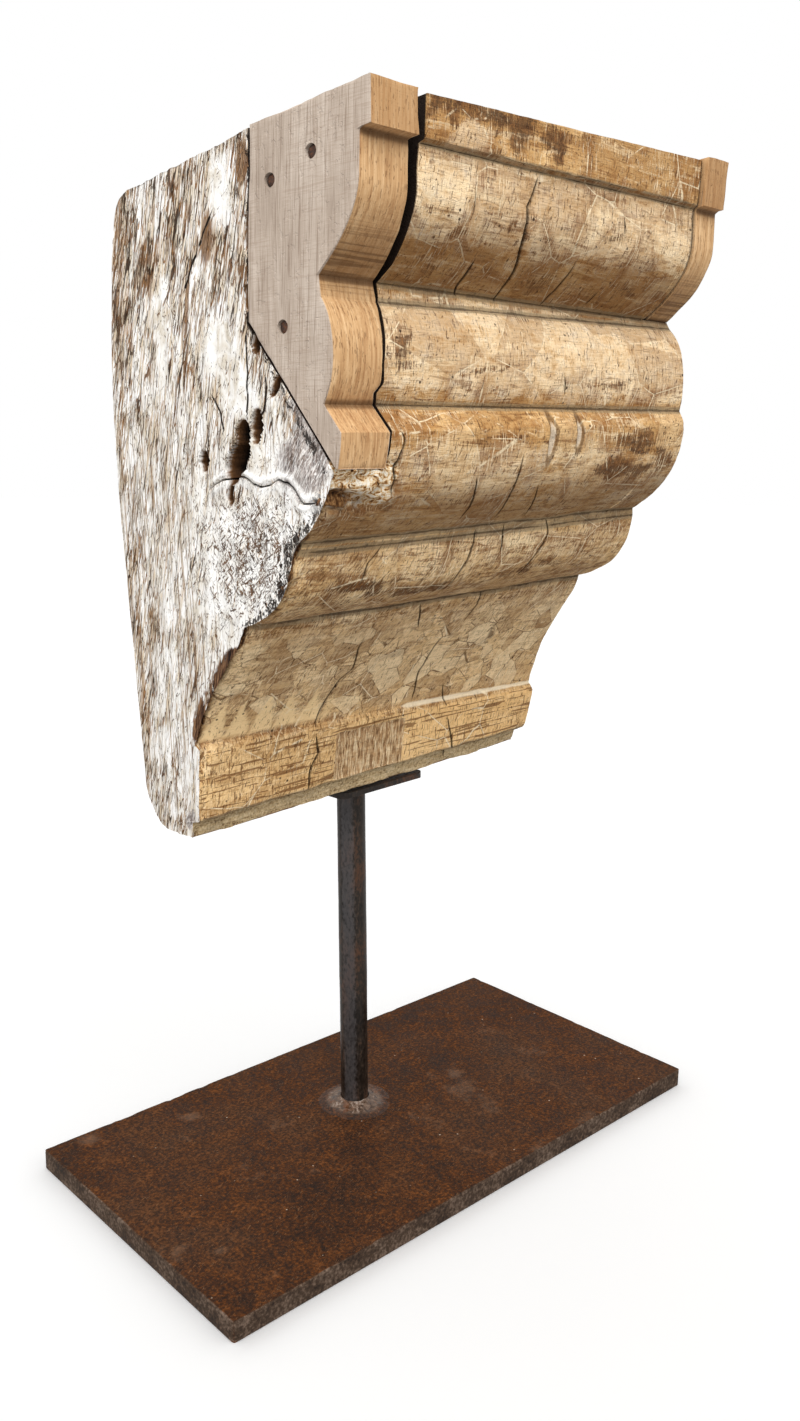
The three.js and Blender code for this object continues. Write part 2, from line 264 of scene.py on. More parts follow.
check_tracks = {
    "beside_board": [
        (1.5, [(-88.0, 174.5), (-86.5, 171.0), (-89.0, 165.5), (-89.5, 160.0), (-88.5, 150.5)]),
        (0.8, [(-72.0, 131.0), (-80.0, 123.0), (-80.0, 113.0)]),
    ],
    "ovolo_hairline": [
        (0.6, [(-61.5, 260.0), (-60.5, 251.0), (-61.5, 247.0)]),
    ],
    "left_of_middle": [
        (1.3, [(-49.5, 236.5), (-50.0, 228.0), (-47.0, 224.5)]),
        (1.1, [(-41.5, 156.0), (-37.0, 145.5), (-35.0, 137.5)]),
        (1.2, [(-45.5, 84.5), (-40.5, 67.5), (-46.0, 61.5), (-49.5, 49.5), (-54.0, 38.5)]),
        (1.5, [(-54.0, 36.5), (-52.0, 27.0), (-56.0, 19.5), (-56.5, 9.0)]),
    ],
    "middle": [
        (1.9, [(-25.5, 268.5), (-28.0, 262.5), (-31.5, 257.0), (-30.0, 249.5), (-28.5, 242.5),
              (-24.5, 235.0), (-25.0, 230.0), (-24.0, 224.5)]),
        (1.3, [(-15.0, 164.0), (-14.5, 154.0), (-13.5, 146.5), (-11.0, 136.0)]),
        (1.5, [(-17.0, 132.5), (-16.5, 126.0), (-19.0, 115.5), (-21.5, 103.5)]),
        (1.1, [(-18.0, 97.0), (-10.0, 84.0)]),
    ],
    "right_of_middle": [
        (1.2, [(9.0, 241.0), (8.0, 233.5), (6.0, 225.0)]),
        (0.9, [(12.5, 196.5), (14.0, 188.0)]),
        (0.9, [(2.5, 150.5), (12.0, 135.0)]),
        (1.0, [(2.5, 133.0), (4.0, 119.5)]),
        (1.2, [(13.0, 77.0), (10.5, 58.5), (11.5, 50.5), (12.0, 42.5)]),
    ],
    "right": [
        (1.2, [(33.0, 260.5), (34.0, 254.5)]),
        (0.9, [(35.5, 233.0), (34.5, 227.5)]),
        (1.4, [(31.5, 134.0), (36.0, 126.5), (30.0, 114.5), (29.0, 106.0)]),
        (1.0, [(24.0, 99.0), (26.0, 91.5), (24.0, 84.0)]),
        (0.9, [(33.0, 50.0), (37.0, 38.0)]),
        (1.3, [(37.0, 31.5), (42.5, 17.0), (46.0, 3.5)]),
    ],
}
check_depth_for_width = 1.9
check_wander = 0.45


def left_joint(height):
    """Where the left board's inner face lies at a height; it wanders a little down the front."""
    heights = [150.0, 163.0, 174.0, 183.0, 187.0, 190.5, 197.0,
               205.0, 213.0, 220.0, 232.0, 245.0, 260.0, 285.0]
    wander = [1.0, 1.2, 2.0, 1.5, -0.2, 2.4, 1.4, 2.4, 3.2, 4.6, 3.4, 1.6, 0.4, 0.0]
    return left_board_inner + np.interp(height, heights, wander)


def left_gap(height):
    """The open joint between the left board and the block, wider at the top."""
    heights = [150.0, 182.0, 219.0, 226.0, 232.0, 240.0, 250.0, 262.0, 270.0, 285.0]
    widths = [0.8, 0.9, 1.2, 2.0, 4.0, 4.0, 4.2, 4.6, 5.4, 6.2]
    return np.interp(height, heights, widths)


# Making meshes

def lattice_faces(grid, row_step=1, column_step=1):
    """Faces over a grid of vertex numbers; a coarse grid still meets every vertex on its rim."""
    last_row = grid.shape[0] - 1
    last_column = grid.shape[1] - 1
    rows = sorted(set(range(0, last_row, row_step)) | {last_row})
    columns = sorted(set(range(0, last_column, column_step)) | {last_column})
    faces = []
    for row, next_row in zip(rows, rows[1:]):
        for column, next_column in zip(columns, columns[1:]):
            upper = range(column, next_column) if row == 0 else [column]
            lower = range(next_column, column, -1) if next_row == last_row else [next_column]
            right_side = range(row, next_row) if next_column == last_column else [row]
            left_side = range(next_row, row, -1) if column == 0 else [next_row]
            loop = [grid[row, place] for place in upper]
            loop += [grid[place, next_column] for place in right_side]
            loop += [grid[next_row, place] for place in lower]
            loop += [grid[place, column] for place in left_side]
            faces.append([int(vertex) for vertex in loop])
    return faces


def circle(count):
    """The angles of evenly spaced places round a circle."""
    return np.arange(count) * 2 * math.pi / count


def ring_faces(rings, count, closed=False):
    """Faces between rings of points; a closed run joins its last ring to its first."""
    grid = np.arange(rings * count).reshape(rings, count)
    return lattice_faces(np.pad(grid, ((0, int(closed)), (0, 1)), mode="wrap"))


class BoxMesh:
    """A closed mesh made of six grids that share their rims, as the sides of a bent box do."""

    def __init__(self, rows, columns, layers):
        self.sides = {
            "front": np.full((rows + 1, columns + 1), -1),
            "back": np.full((rows + 1, columns + 1), -1),
            "left": np.full((rows + 1, layers + 1), -1),
            "right": np.full((rows + 1, layers + 1), -1),
            "top": np.full((layers + 1, columns + 1), -1),
            "bottom": np.full((layers + 1, columns + 1), -1),
        }
        self.points = []
        self.number = 0

    def put(self, side, points):
        """Fills a side's grid; rim vertices that another side has already made are kept."""
        grid = self.sides[side]
        new = grid < 0
        count = int(new.sum())
        grid[new] = np.arange(self.number, self.number + count)
        self.points.append(points[new])
        self.number += count
        self.share_rims()

    def share_rims(self):
        """Copies vertex numbers between the rims that meet."""
        side = self.sides
        pairs = [
            (side["front"][:, 0], side["left"][:, 0]), (side["front"][:, -1], side["right"][:, 0]),
            (side["back"][:, 0], side["left"][:, -1]), (side["back"][:, -1], side["right"][:, -1]),
            (side["front"][0], side["top"][0]), (side["back"][0], side["top"][-1]),
            (side["front"][-1], side["bottom"][0]), (side["back"][-1], side["bottom"][-1]),
            (side["left"][0], side["top"][:, 0]), (side["right"][0], side["top"][:, -1]),
            (side["left"][-1], side["bottom"][:, 0]), (side["right"][-1], side["bottom"][:, -1]),
        ]
        for one, other in pairs:
            known = np.maximum(one, other)
            one[:] = known
            other[:] = known

    def finish(self, steps):
        """All points and faces, facing outwards; steps gives some sides a coarser spacing.

        Keeps each face's side, which points are on each side, and the new number of each grid vertex.
        """
        faces = []
        self.face_sides = []
        turned = {"front": False, "back": True, "left": True, "right": False, "top": True, "bottom": False}
        for name, grid in self.sides.items():
            row_step, column_step = steps.get(name, (1, 1))
            for face in lattice_faces(grid, row_step, column_step):
                faces.append(face if turned[name] else face[::-1])
                self.face_sides.append(name)
        points = np.concatenate(self.points)
        used = np.unique(np.concatenate([np.array(face) for face in faces]))
        self.renumber = np.full(len(points), -1)
        self.renumber[used] = np.arange(len(used))
        faces = [[int(self.renumber[vertex]) for vertex in face] for face in faces]
        self.regions = {}
        for name, grid in self.sides.items():
            kept = self.renumber[grid]
            self.regions[name] = np.zeros(len(used))
            self.regions[name][kept[kept >= 0]] = 1
        return points[used], faces


def new_object(name, points, faces, matrix=None):
    """A mesh object from points in millimetres."""
    mesh = bpy.data.meshes.new(name)
    mesh.from_pydata((np.asarray(points) * MM).tolist(), [], faces)
    mesh.update()
    piece = bpy.data.objects.new(name, mesh)
    bpy.context.scene.collection.objects.link(piece)
    if matrix is not None:
        piece.matrix_world = matrix
    return piece


def points_of(piece):
    """A mesh's points in its own directions, in millimetres."""
    flat = np.zeros(len(piece.data.vertices) * 3)
    piece.data.vertices.foreach_get("co", flat)
    return flat.reshape(-1, 3) / MM


def normals_of(piece):
    """The outward direction at each point."""
    flat = np.zeros(len(piece.data.vertices) * 3, np.float32)
    piece.data.vertex_normals.foreach_get("vector", flat)
    return flat.reshape(-1, 3).astype(float)


def move_points(piece, points):
    """Sets a mesh's points, given in millimetres."""
    piece.data.vertices.foreach_set("co", (points * MM).astype(np.float32).ravel())
    piece.data.update()


def set_mark(piece, name, values):
    """Keeps a number at each point for the material to read."""
    attribute = piece.data.attributes.new(name, "FLOAT", "POINT")
    attribute.data.foreach_set("value", np.clip(values, 0, 1).astype(np.float32))


def smooth_shading(piece, angle):
    """Soft shading with the sharper arrises kept."""
    piece.data.shade_smooth()
    piece.data.set_sharp_from_angle(angle=math.radians(angle))


def merge_close(piece, distance):
    """Joins points that lie on each other."""
    work = bmesh.new()
    work.from_mesh(piece.data)
    bmesh.ops.remove_doubles(work, verts=work.verts, dist=distance * MM)
    bmesh.ops.recalc_face_normals(work, faces=work.faces)
    work.to_mesh(piece.data)
    work.free()


def dress(piece, material, slot, *nodes):
    """Gives a piece its material and its place in the part."""
    piece.data.materials.clear()
    piece.data.materials.append(material)
    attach(piece, "root")
    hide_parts(*nodes)


stand_turn = Matrix.Rotation(rod_turn, 4, "Z") @ Matrix.Rotation(-rod_lean, 4, "Y")
rod_matrix = Matrix.Translation(Vector((rod_foot[0], rod_foot[1], plate_thickness)) * MM) @ stand_turn
corbel_matrix = rod_matrix @ Matrix.Translation(Vector((0, 0, seat_height)) * MM)


# Mesh of the corbel block

def front_columns():
    """Where the front's columns lie at rest: in the left recess, the moulding and the right recess.

    Last come the columns that the check tracks take.
    """
    anchors = [left_board_inner + wall_margin]
    for track in check_tracks.values():
        middle = np.mean([x for wide, path in track for x, z in path])
        anchors.append(float(middle))
    anchors.append(right_board_inner - wall_margin)
    spans = [np.linspace(left_board_inner, anchors[0], 4)[1:-1]]
    check_columns = []
    for start, end in zip(anchors, anchors[1:]):
        count = max(4, round((end - start) / column_spacing))
        spans.append(np.linspace(start, end, count + 1)[:-1])
        check_columns.append(end)
    spans.append(np.linspace(anchors[-1], right_board_inner, 4)[:-1])
    moulding = np.concatenate(spans)
    for middle in check_columns[:-1]:
        moulding = np.concatenate([moulding, [middle - 0.5, middle + 0.5]])
    moulding = np.sort(moulding)
    left_recess = np.linspace(block_left, left_board_inner, 18)[:-1]
    right_recess = np.linspace(right_board_inner, block_right, 13)[1:]
    return left_recess, moulding, right_recess, check_columns[:-1]


# How far inwards each column of a recess wall lies, from its floor to its front arris
wall_steps = [1.0, 0.7, 0.4, 0.12, 0.012, 0.0]
wall_columns = len(wall_steps)


def split_opening(y):
    """How open the split in the left face is at each depth: 1 along it, 0 beyond its ends."""
    front_end = split_path[-1][0]
    back_end = split_path[0][0]
    return window(y, front_end - 3, front_end + 3, back_end - 3, back_end + 3)


def split_shift(left, split_row):
    """How far to draw the left face's rows up or down, so that one row follows the split."""
    depths = [depth for depth, height in split_path[::-1]]
    heights = [height for depth, height in split_path[::-1]]
    shift = np.zeros(left.shape[:2])
    reach = 26
    for layer in range(left.shape[1]):
        y = left[split_row, layer, 1]
        wander = 0.5 * float(fractal(np.array([[0.0, y, 0.0]]), 5.0, 17)[0])
        wanted = np.interp(y, depths, heights) + wander
        fade = window(y, -122, -112, -45, 10)
        move = (wanted - left[split_row, layer, 2]) * fade
        for row in range(split_row - reach, min(split_row + reach, left.shape[0])):
            shift[row, layer] = move * (1 - abs(row - split_row) / reach)
        opening = float(split_opening(y))
        for side in (-1, 1):
            row = split_row + side
            height = left[split_row, layer, 2] + move - side * 0.5
            shift[row, layer] = (height - left[row, layer, 2]) * opening + shift[row, layer] * (1 - opening)
    return shift


def check_lines(row_heights):
    """Each check track's middle and how wide it is open, at each row of the front."""
    lines = []
    for number, track in enumerate(check_tracks.values()):
        places = sorted((z, x) for wide, path in track for x, z in path)
        heights = [z for z, x in places]
        across = [x for z, x in places]
        row_points = np.stack([row_heights * 0, row_heights * 0 + 50 * number, row_heights], axis=-1)
        wander = check_wander * fractal(row_points, 7.0, 11 + number)
        middle = np.interp(row_heights, heights, across) + wander
        opening = np.zeros(len(row_heights))
        for wide, path in track:
            top = path[0][1]
            low = path[-1][1]
            inside = np.clip((top - row_heights) / (top - low), 0, 1)
            taper = np.where((inside > 0) & (inside < 1), np.sin(np.pi * inside) ** 0.45, 0)
            opening = np.maximum(opening, taper * wide)
        lines.append((middle, opening))
    return lines


def draw_to_checks(x, rest, kind, check_columns, lines):
    """Moves the front's columns, so that three follow each check track: its middle and its two edges.

    Gives how deep each point is cut, and how far inside a check it is.
    """
    depth_cut = np.zeros_like(x)
    inside_check = np.zeros_like(x)
    low_end = left_board_inner + wall_margin
    high_end = right_board_inner - wall_margin
    inner = (kind == 2) & (rest > low_end) & (rest < high_end)
    for row in range(len(x)):
        known = [low_end]
        wanted = [low_end]
        for base, (middle, opening) in zip(check_columns, lines):
            half = max(0.25, opening[row] / 2)
            known += [base - 0.5, base, base + 0.5]
            wanted += [middle[row] - half, middle[row], middle[row] + half]
        x[row, inner] = np.interp(rest[inner], known + [high_end], wanted + [high_end])
    for base, (middle, opening) in zip(check_columns, lines):
        column = int(np.argmin(np.where(kind == 2, np.abs(rest - base), 1e9)))
        depth_cut[:, column] = opening * check_depth_for_width
        inside_check[:, column] = np.minimum(1, opening / 0.7)
        for side in (-1, 1):
            inside_check[:, column + side] = np.minimum(0.35, opening / 2)
    return depth_cut, inside_check


def place_walls(x, rest, kind, check_columns, board_heights, tip_row, ledge_row):
    """Moves the columns of each recess to its wall, and spreads them out below the board."""
    rows = np.arange(len(x))
    joint = left_joint(board_heights) + left_gap(board_heights)
    spread_left = smooth(rows, tip_row - 6, tip_row)
    spread_right = smooth(rows, ledge_row - 1, ledge_row)
    beyond = (kind == 2) & (rest < check_columns[0] - 1)
    first_check = np.nonzero(kind == 2)[0][np.sum(beyond)]
    high_end = right_board_inner - wall_margin
    near = (kind == 2) & (rest >= high_end)
    for row in rows:
        wall = joint[row] * (1 - spread_left[row]) + left_board_inner * spread_left[row]
        spread = recess_spread * spread_left[row]
        x[row, kind == 0] = np.interp(
            rest[kind == 0], [block_left, left_board_inner], [block_left, wall - spread])
        x[row, kind == 1] = np.linspace(wall - spread, wall + spread, wall_columns + 2)[1:-1]
        x[row, beyond] = np.linspace(wall + spread, x[row, first_check], beyond.sum() + 2)[1:-1]
        wall = right_board_inner - right_joint_gap
        spread = recess_spread * spread_right[row]
        x[row, kind == 3] = np.linspace(wall - spread, wall + spread, wall_columns + 2)[1:-1]
        x[row, kind == 4] = np.interp(
            rest[kind == 4], [right_board_inner, block_right], [wall + spread, block_right])
        x[row, near] = np.interp(
            rest[near], [high_end, right_board_inner], [high_end - 1.5, wall - spread])


def cut_recess(front, column, last_row, floor, inward):
    """Draws a column of the front back towards a recess floor that ends at last_row."""
    ending = front[last_row, column, 1:]
    recess = along([*floor, ending], np.arange(last_row + 1) / last_row)
    rows = front[:last_row + 1, column, 1:]
    front[:last_row + 1, column, 1:] = rows * (1 - inward) + recess * inward


def top_height(points):
    """The height of the block's top, which rises and then falls towards the back."""
    shares = share_of(points[..., 0])
    edge, ridge, heel = (at_share(one, shares) for one in (fillet_top, top_middle, top_back))
    before = (points[..., 1] - edge[..., 0]) / (ridge[..., 0] - edge[..., 0])
    after = (points[..., 1] - ridge[..., 0]) / (heel[..., 0] - ridge[..., 0])
    rising = edge[..., 1] + (ridge[..., 1] - edge[..., 1]) * before
    falling = ridge[..., 1] + (heel[..., 1] - ridge[..., 1]) * after
    return np.where(points[..., 1] < ridge[..., 0], rising, falling)


def build_block():
    """The block's mesh, with its checks drawn and its recesses cut, and marks for its wear."""
    left_recess, moulding, right_recess, check_columns = front_columns()
    left_wall = np.full(wall_columns, left_board_inner)
    right_wall = np.full(wall_columns, right_board_inner)
    spans = [left_recess, left_wall, moulding, right_wall, right_recess]
    rest = np.concatenate(spans)
    kind = np.repeat(np.arange(len(spans)), [len(span) for span in spans])
    inward = np.concatenate([
        np.ones(len(left_recess)), wall_steps, np.zeros(len(moulding)), wall_steps[::-1],
        np.ones(len(right_recess)),
    ])
    path = head_path + middle_path + lower_path
    row_share = 0.3
    row_heights = profile(path, np.array([row_share]), row_spacing)[:, 0, 1]
    rows = len(row_heights) - 1
    columns = len(rest) - 1
    layers = 84

    # Places across the front
    x = np.repeat(rest[None], rows + 1, axis=0)
    lines = check_lines(row_heights)
    depth_cut, inside_check = draw_to_checks(x, rest, kind, check_columns, lines)
    end_heights = profile(path, np.array([0.0]), row_spacing)[:, 0, 1]
    tip_row = int(np.argmin(np.abs(end_heights - left_board_tip_height)))
    ledge_height = at_share(ovolo_foot, [row_share])[0, 1]
    ledge_row = int(np.argmin(np.abs(row_heights - ledge_height)))
    board_heights = profile(path, np.array([0.05]), row_spacing)[:, 0, 1]
    place_walls(x, rest, kind, check_columns, board_heights, tip_row, ledge_row)

    # Depth and height at every crossing of a row and a column
    ends = profile(path, np.array([0.0, 1.0]), row_spacing)
    share = share_of(x)[..., None]
    front = np.zeros((rows + 1, columns + 1, 3))
    front[..., 0] = x
    front[..., 1:] = ends[:, :1] * (1 - share) + ends[:, 1:] * share
    floor_top = (left_board_back_top[0] + board_back_gap, left_recess_top)
    floor_foot = (left_board_back_foot[0] + board_back_gap, left_board_back_foot[1] - board_back_gap)
    for column in np.nonzero(kind <= 1)[0]:
        cut_recess(front, column, tip_row, [floor_top, floor_foot], inward[column])
    floor_depth = right_board_back + board_back_gap
    for column in np.nonzero(kind >= 3)[0]:
        corner = (floor_depth, front[ledge_row, column, 2])
        cut_recess(front, column, ledge_row, [(floor_depth, right_recess_top), corner], inward[column])

    # Back, ends, top and sole
    fraction = (front[0, 0, 2] - front[:, 0, 2]) / (front[0, 0, 2] - front[-1, 0, 2])
    back = np.zeros_like(front)
    back[..., 0] = np.linspace(block_left, block_right, columns + 1)[None]
    for column in range(columns + 1):
        column_share = share_of(back[:1, column, 0])
        back[:, column, 1:] = along(profile(back_path, column_share, 2.0)[:, 0], fraction)
    across = (np.arange(layers + 1) / layers)[None, :, None]
    inwards = across.transpose(1, 0, 2)
    left = front[:, :1] * (1 - across) + back[:, :1] * across
    right = front[:, -1:] * (1 - across) + back[:, -1:] * across
    top = front[0][None] * (1 - inwards) + back[0][None] * inwards
    bottom = front[-1][None] * (1 - inwards) + back[-1][None] * inwards
    top[..., 2] = top_height(top)
    split_row = int(np.argmin(np.abs(front[:, 0, 2] - split_path[-1][1])))
    left[..., 2] += split_shift(left, split_row)
    box = BoxMesh(rows, columns, layers)
    for side, grid in (("front", front), ("left", left), ("right", right), ("back", back), ("top", top),
                       ("bottom", bottom)):
        box.put(side, grid)
    points, faces = box.finish({"right": (3, 4), "back": (4, 5), "top": (4, 4), "bottom": (4, 4)})

    # Recess faces hidden behind the boards; the front's material paints them near black as shade
    painted_dark_recess = np.zeros((rows + 1, columns + 1))
    painted_dark_recess[:tip_row - 4][:, :len(left_recess) + wall_columns - 1] = 1
    painted_dark_recess[:ledge_row + 1][:, kind >= 3] = 1
    split = np.zeros_like(left[..., 0])
    split[split_row] = split_opening(left[split_row, :, 1])
    marks = {}
    for name, side, grid in (
            ("cut", "front", depth_cut), ("checked", "front", inside_check), ("hidden", "front", painted_dark_recess),
            ("split", "left", split)):
        marks[name] = np.zeros(len(points))
        marks[name][box.renumber[box.sides[side]]] = grid
    return new_object("corbel_timber", points, faces, corbel_matrix), box, marks


# Wear and marks on the block

# Left-hand losses, as bells on the arris: height, reach inwards, reach up and down, depth lost
arris_losses = {
    "torus_corner": (150.0, 20.0, 9.0, 6.0),
    "bead_corner": (113.0, 8.0, 12.0, 6.0),
    "ogee_edge": (66.0, 5.0, 26.0, 5.0),
}
# Knot holes in the left face: depth, height, half breadth, half length, how deep, lean
knot_holes = {
    "main": (-66.0, 162.5, 5.6, 11.0, 18.0, 32.0),
    "main_top": (-69.6, 172.0, 4.2, 6.6, 9.0, 6.0),
    "narrow": (-78.2, 175.0, 3.0, 7.0, 11.0, 6.0),
    "small": (-44.8, 162.0, 2.7, 4.8, 8.0, 8.0),
    "board_foot": (-79.5, 206.5, 3.0, 5.6, 9.0, 24.0),
    "beside_board": (-91.0, 191.5, 1.7, 8.0, 6.0, 34.0),
    "under_split": (-60.5, 149.5, 2.0, 4.6, 5.0, 8.0),
    "foot_of_board_line": (-74.6, 222.0, 1.6, 5.0, 6.0, 2.0),
    "board_line": (-75.6, 245.0, 1.2, 7.0, 6.0, 3.0),
}
# Smooth, thickly limewashed places on the left face: depth, height, reach across, reach up and down
chalky_places = {
    "beside_hole": (-76.5, 163.0, 4.5, 8.0),
    "above_hole": (-69.0, 188.0, 8.0, 8.0),
    "below_teardrop": (-50.0, 238.0, 4.5, 7.0),
    "upper": (-57.0, 262.0, 5.0, 11.0),
    "middle": (-56.0, 204.0, 10.0, 8.0),
    "far_middle": (-20.0, 214.0, 5.0, 16.0),
    "stroke": (-48.0, 102.5, 17.0, 2.6),
    "ogee_corner": (-58.0, 92.0, 7.0, 5.0),
    "foot": (-38.0, 30.0, 3.0, 16.0),
}
# Places on the left face where the limewash has gone: depth, height, reach across, reach up and down,
# lean, strength
bare_places = {
    "back_edge": (10.0, 0.0, 8.0, math.inf, 0.0, 0.6),
    "upper_part": (-25.0, 262.0, 34.0, 50.0, 0.0, 0.35),
    "drop_beside_board": (-70.0, 268.0, 5.0, 13.0, 0.16, 1.0),
    "teardrop": (-50.0, 244.0, 5.5, 13.0, 0.16, 1.0),
    "long_streak": (-40.0, 218.0, 2.2, 24.0, 0.16, 0.8),
    "short_streak": (-74.0, 232.0, 3.0, 9.0, 0.16, 0.7),
    "fleck": (-1.4, 96.3, 1.8, 2.6, 0.0, 1.0),
}
bare_lean_height = 240.0
# Thin cracks in the left face: depth and height along each
left_cracks = [
    [(-73.2, 208.0), (-73.6, 195.0), (-72.9, 181.0)],
    [(-80.4, 178.5), (-82.6, 181.0), (-83.8, 185.0), (-84.4, 192.0)],
    [(-53.5, 252.5), (-47.8, 246.0), (-42.5, 238.5), (-39.0, 233.0), (-36.5, 228.5)],
    [(-78.6, 276.0), (-78.2, 262.0), (-76.8, 250.0)],
    [(-77.0, 240.0), (-76.4, 228.0), (-75.4, 214.0)],
    [(-52.5, 186.0), (-56.5, 181.5), (-57.5, 175.0)],
]
# A wandering split across the left face, with a raised white lip: depth and height
split_path = [(-49.0, 152.0), (-57.0, 155.5), (-68.0, 157.0), (-80.0, 153.0), (-90.0, 155.5),
              (-97.0, 155.0), (-104.0, 147.5), (-113.0, 148.5)]
# Dents in the arris above the torus: place across, height, half breadth, half length, depth
arris_dents = {"left_dent": (3.4, 170.5, 2.4, 9.0, 1.9), "right_dent": (22.6, 172.5, 2.0, 7.5, 1.7)}
# The splintered patch on the fascia: from left to right, and from low to high
patch_left, patch_right, patch_low, patch_high = -40.0, 6.0, 9.0, 36.0
# The splintered end of the torus under the board's tip: how far it reaches right, and from low to high
splinter_right, splinter_low, splinter_high = -85.0, 143.0, 166.0
# A pit in that end: place across, height, reach across, reach up and down, depth
splinter_pit = (-99.9, 147.0, 2.4, 2.2, 4.5)
# Pale triangular flakes in a row above the fascia, towards the left
tooth_width, tooth_height = 13.0, 17.0

# Brown stains on the front: place across, height, reach across, reach up and down, strength
stains = {
    "fillet_end": (-87.0, 281.0, 6.0, 9.0, 1.3),
    "fillet_left": (-64.0, 285.5, 28.0, 6.5, 1.4),
    "fillet_middle": (-40.0, 281.0, 12.0, 9.0, 1.4),
    "fillet_right": (-21.0, 280.5, 7.0, 9.0, 1.4),
    "fillet_far": (-2.0, 284.0, 16.0, 5.0, 0.8),
    "fillet_right_end": (84.0, 281.0, 7.0, 9.0, 0.55),
    "ovolo_knot_left": (-76.0, 252.4, 4.5, 3.2, 0.95),
    "ovolo_knot_middle": (-23.5, 246.1, 2.6, 4.2, 0.9),
    "ovolo_smear_left": (-63.0, 243.5, 14.0, 3.0, 0.9),
    "ovolo_smear_middle": (-42.0, 250.0, 9.0, 5.0, 0.8),
    "ovolo_smear_right": (26.0, 252.5, 12.0, 2.6, 0.95),
    "ovolo_low_left": (-68.0, 232.0, 26.0, 4.2, 0.75),
    "ovolo_low_middle": (-8.0, 233.0, 26.0, 4.6, 0.8),
    "ovolo_low_right": (52.0, 234.0, 34.0, 5.0, 0.7),
    "roll_left": (-84.0, 203.0, 9.0, 15.0, 0.95),
    "roll_streak": (-36.0, 197.5, 34.0, 1.6, 0.95),
    "roll_middle": (-5.0, 207.0, 6.0, 5.0, 0.6),
    "roll_right": (46.0, 194.0, 22.0, 3.5, 0.85),
    "torus_edge": (-30.0, 170.5, 45.0, 1.8, 0.95),
    "torus_right": (66.0, 169.0, 28.0, 7.0, 1.0),
    "torus_right_low": (62.0, 156.0, 26.0, 6.0, 1.2),
    "torus_end": (86.0, 160.0, 12.0, 9.0, 1.0),
    "torus_left": (-98.0, 149.0, 14.0, 5.0, 1.2),
    "torus_low": (-45.0, 146.0, 40.0, 4.0, 0.6),
    "bead_left": (-80.0, 111.0, 24.0, 5.5, 1.3),
    "bead_middle": (-40.0, 108.0, 26.0, 4.6, 1.15),
    "bead_right": (36.0, 112.0, 24.0, 4.6, 1.0),
    "ogee_top": (10.0, 94.0, 50.0, 2.6, 0.6),
    "ogee_left": (-92.0, 62.0, 16.0, 22.0, 0.5),
    "ogee_middle": (-15.0, 70.0, 9.0, 4.6, 1.0),
    "ogee_right": (60.0, 80.0, 26.0, 7.0, 0.7),
    "ogee_low_left": (-78.0, 54.0, 18.0, 3.6, 0.8),
    "ogee_low_middle": (-30.0, 58.0, 22.0, 3.0, 0.75),
    "fascia_joint": (-40.0, 24.0, 8.0, 12.0, 0.4),
}
# How much pale paint is left on each band, by height
paint_heights = [0.0, 8.0, 12.0, 36.0, 44.0, 62.0, 90.0, 100.0, 112.0, 126.0, 133.0, 146.0,
                 164.0, 175.0, 184.0, 196.0, 216.0, 226.0, 238.0, 246.0, 262.0, 269.0, 273.0, 290.0]
paint_left = [0.75, 0.6, 0.12, 0.14, 0.45, 0.5, 0.6, 0.4, 0.36, 0.54, 0.3, 0.42,
              0.52, 0.1, 0.3, 0.85, 1.0, 0.3, 0.34, 0.66, 0.74, 0.6, 0.18, 0.05]
# Furrows between the mouldings, and the arrises that have worn, each with its reach
furrows = [(fillet_foot, 0.8), (ovolo_top, 1.3), (ovolo_foot, 2.6), (roll_top, 2.2), (roll_foot, 2.4),
           (torus_foot, 2.6), (bead_top, 2.4), (bead_foot, 3.2), (fascia_foot, 1.4), (reveal_top, 1.8)]
worn_arrises = [(fillet_foot, 1.6), (arris, 2.4), (bead_foot, 1.4), (fascia_top, 1.6),
                (fascia_foot, 1.6), (sole_front, 1.8)]


def side_of_path(y, z, path):
    """How far points on a face are from a line on it, counted negative on one of its sides."""
    nearest = np.full(y.shape, 1e9)
    for (start_y, start_z), (end_y, end_z) in zip(path, path[1:]):
        run_y = end_y - start_y
        run_z = end_z - start_z
        from_y = y - start_y
        from_z = z - start_z
        share = np.clip((from_y * run_y + from_z * run_z) / math.hypot(run_y, run_z) ** 2, 0, 1)
        away = np.hypot(from_y - share * run_y, from_z - share * run_z)
        across = from_y * run_z - from_z * run_y
        nearest = np.where(away < np.abs(nearest), np.where(across < 0, -away, away), nearest)
    return nearest


def near_line(points, moulding_line, reach):
    """1 on a moulding line, falling to 0 a little beyond its reach."""
    place = at_share(moulding_line, share_of(points[:, 0]))
    return bell(np.hypot(points[:, 1] - place[:, 0], points[:, 2] - place[:, 1]) / reach)


def hole_shares(y, z, hole):
    """How far into a knot hole points of the left face are: 1 in its middle, 0 at its rim, less outside."""
    hole_y, hole_z, across, length, _, lean = hole
    turn = math.radians(lean)
    sideways = (y - hole_y) * math.cos(turn) + (z - hole_z) * math.sin(turn)
    lengthways = (z - hole_z) * math.cos(turn) - (y - hole_y) * math.sin(turn)
    return 1 - np.hypot(sideways / across, lengthways / length)


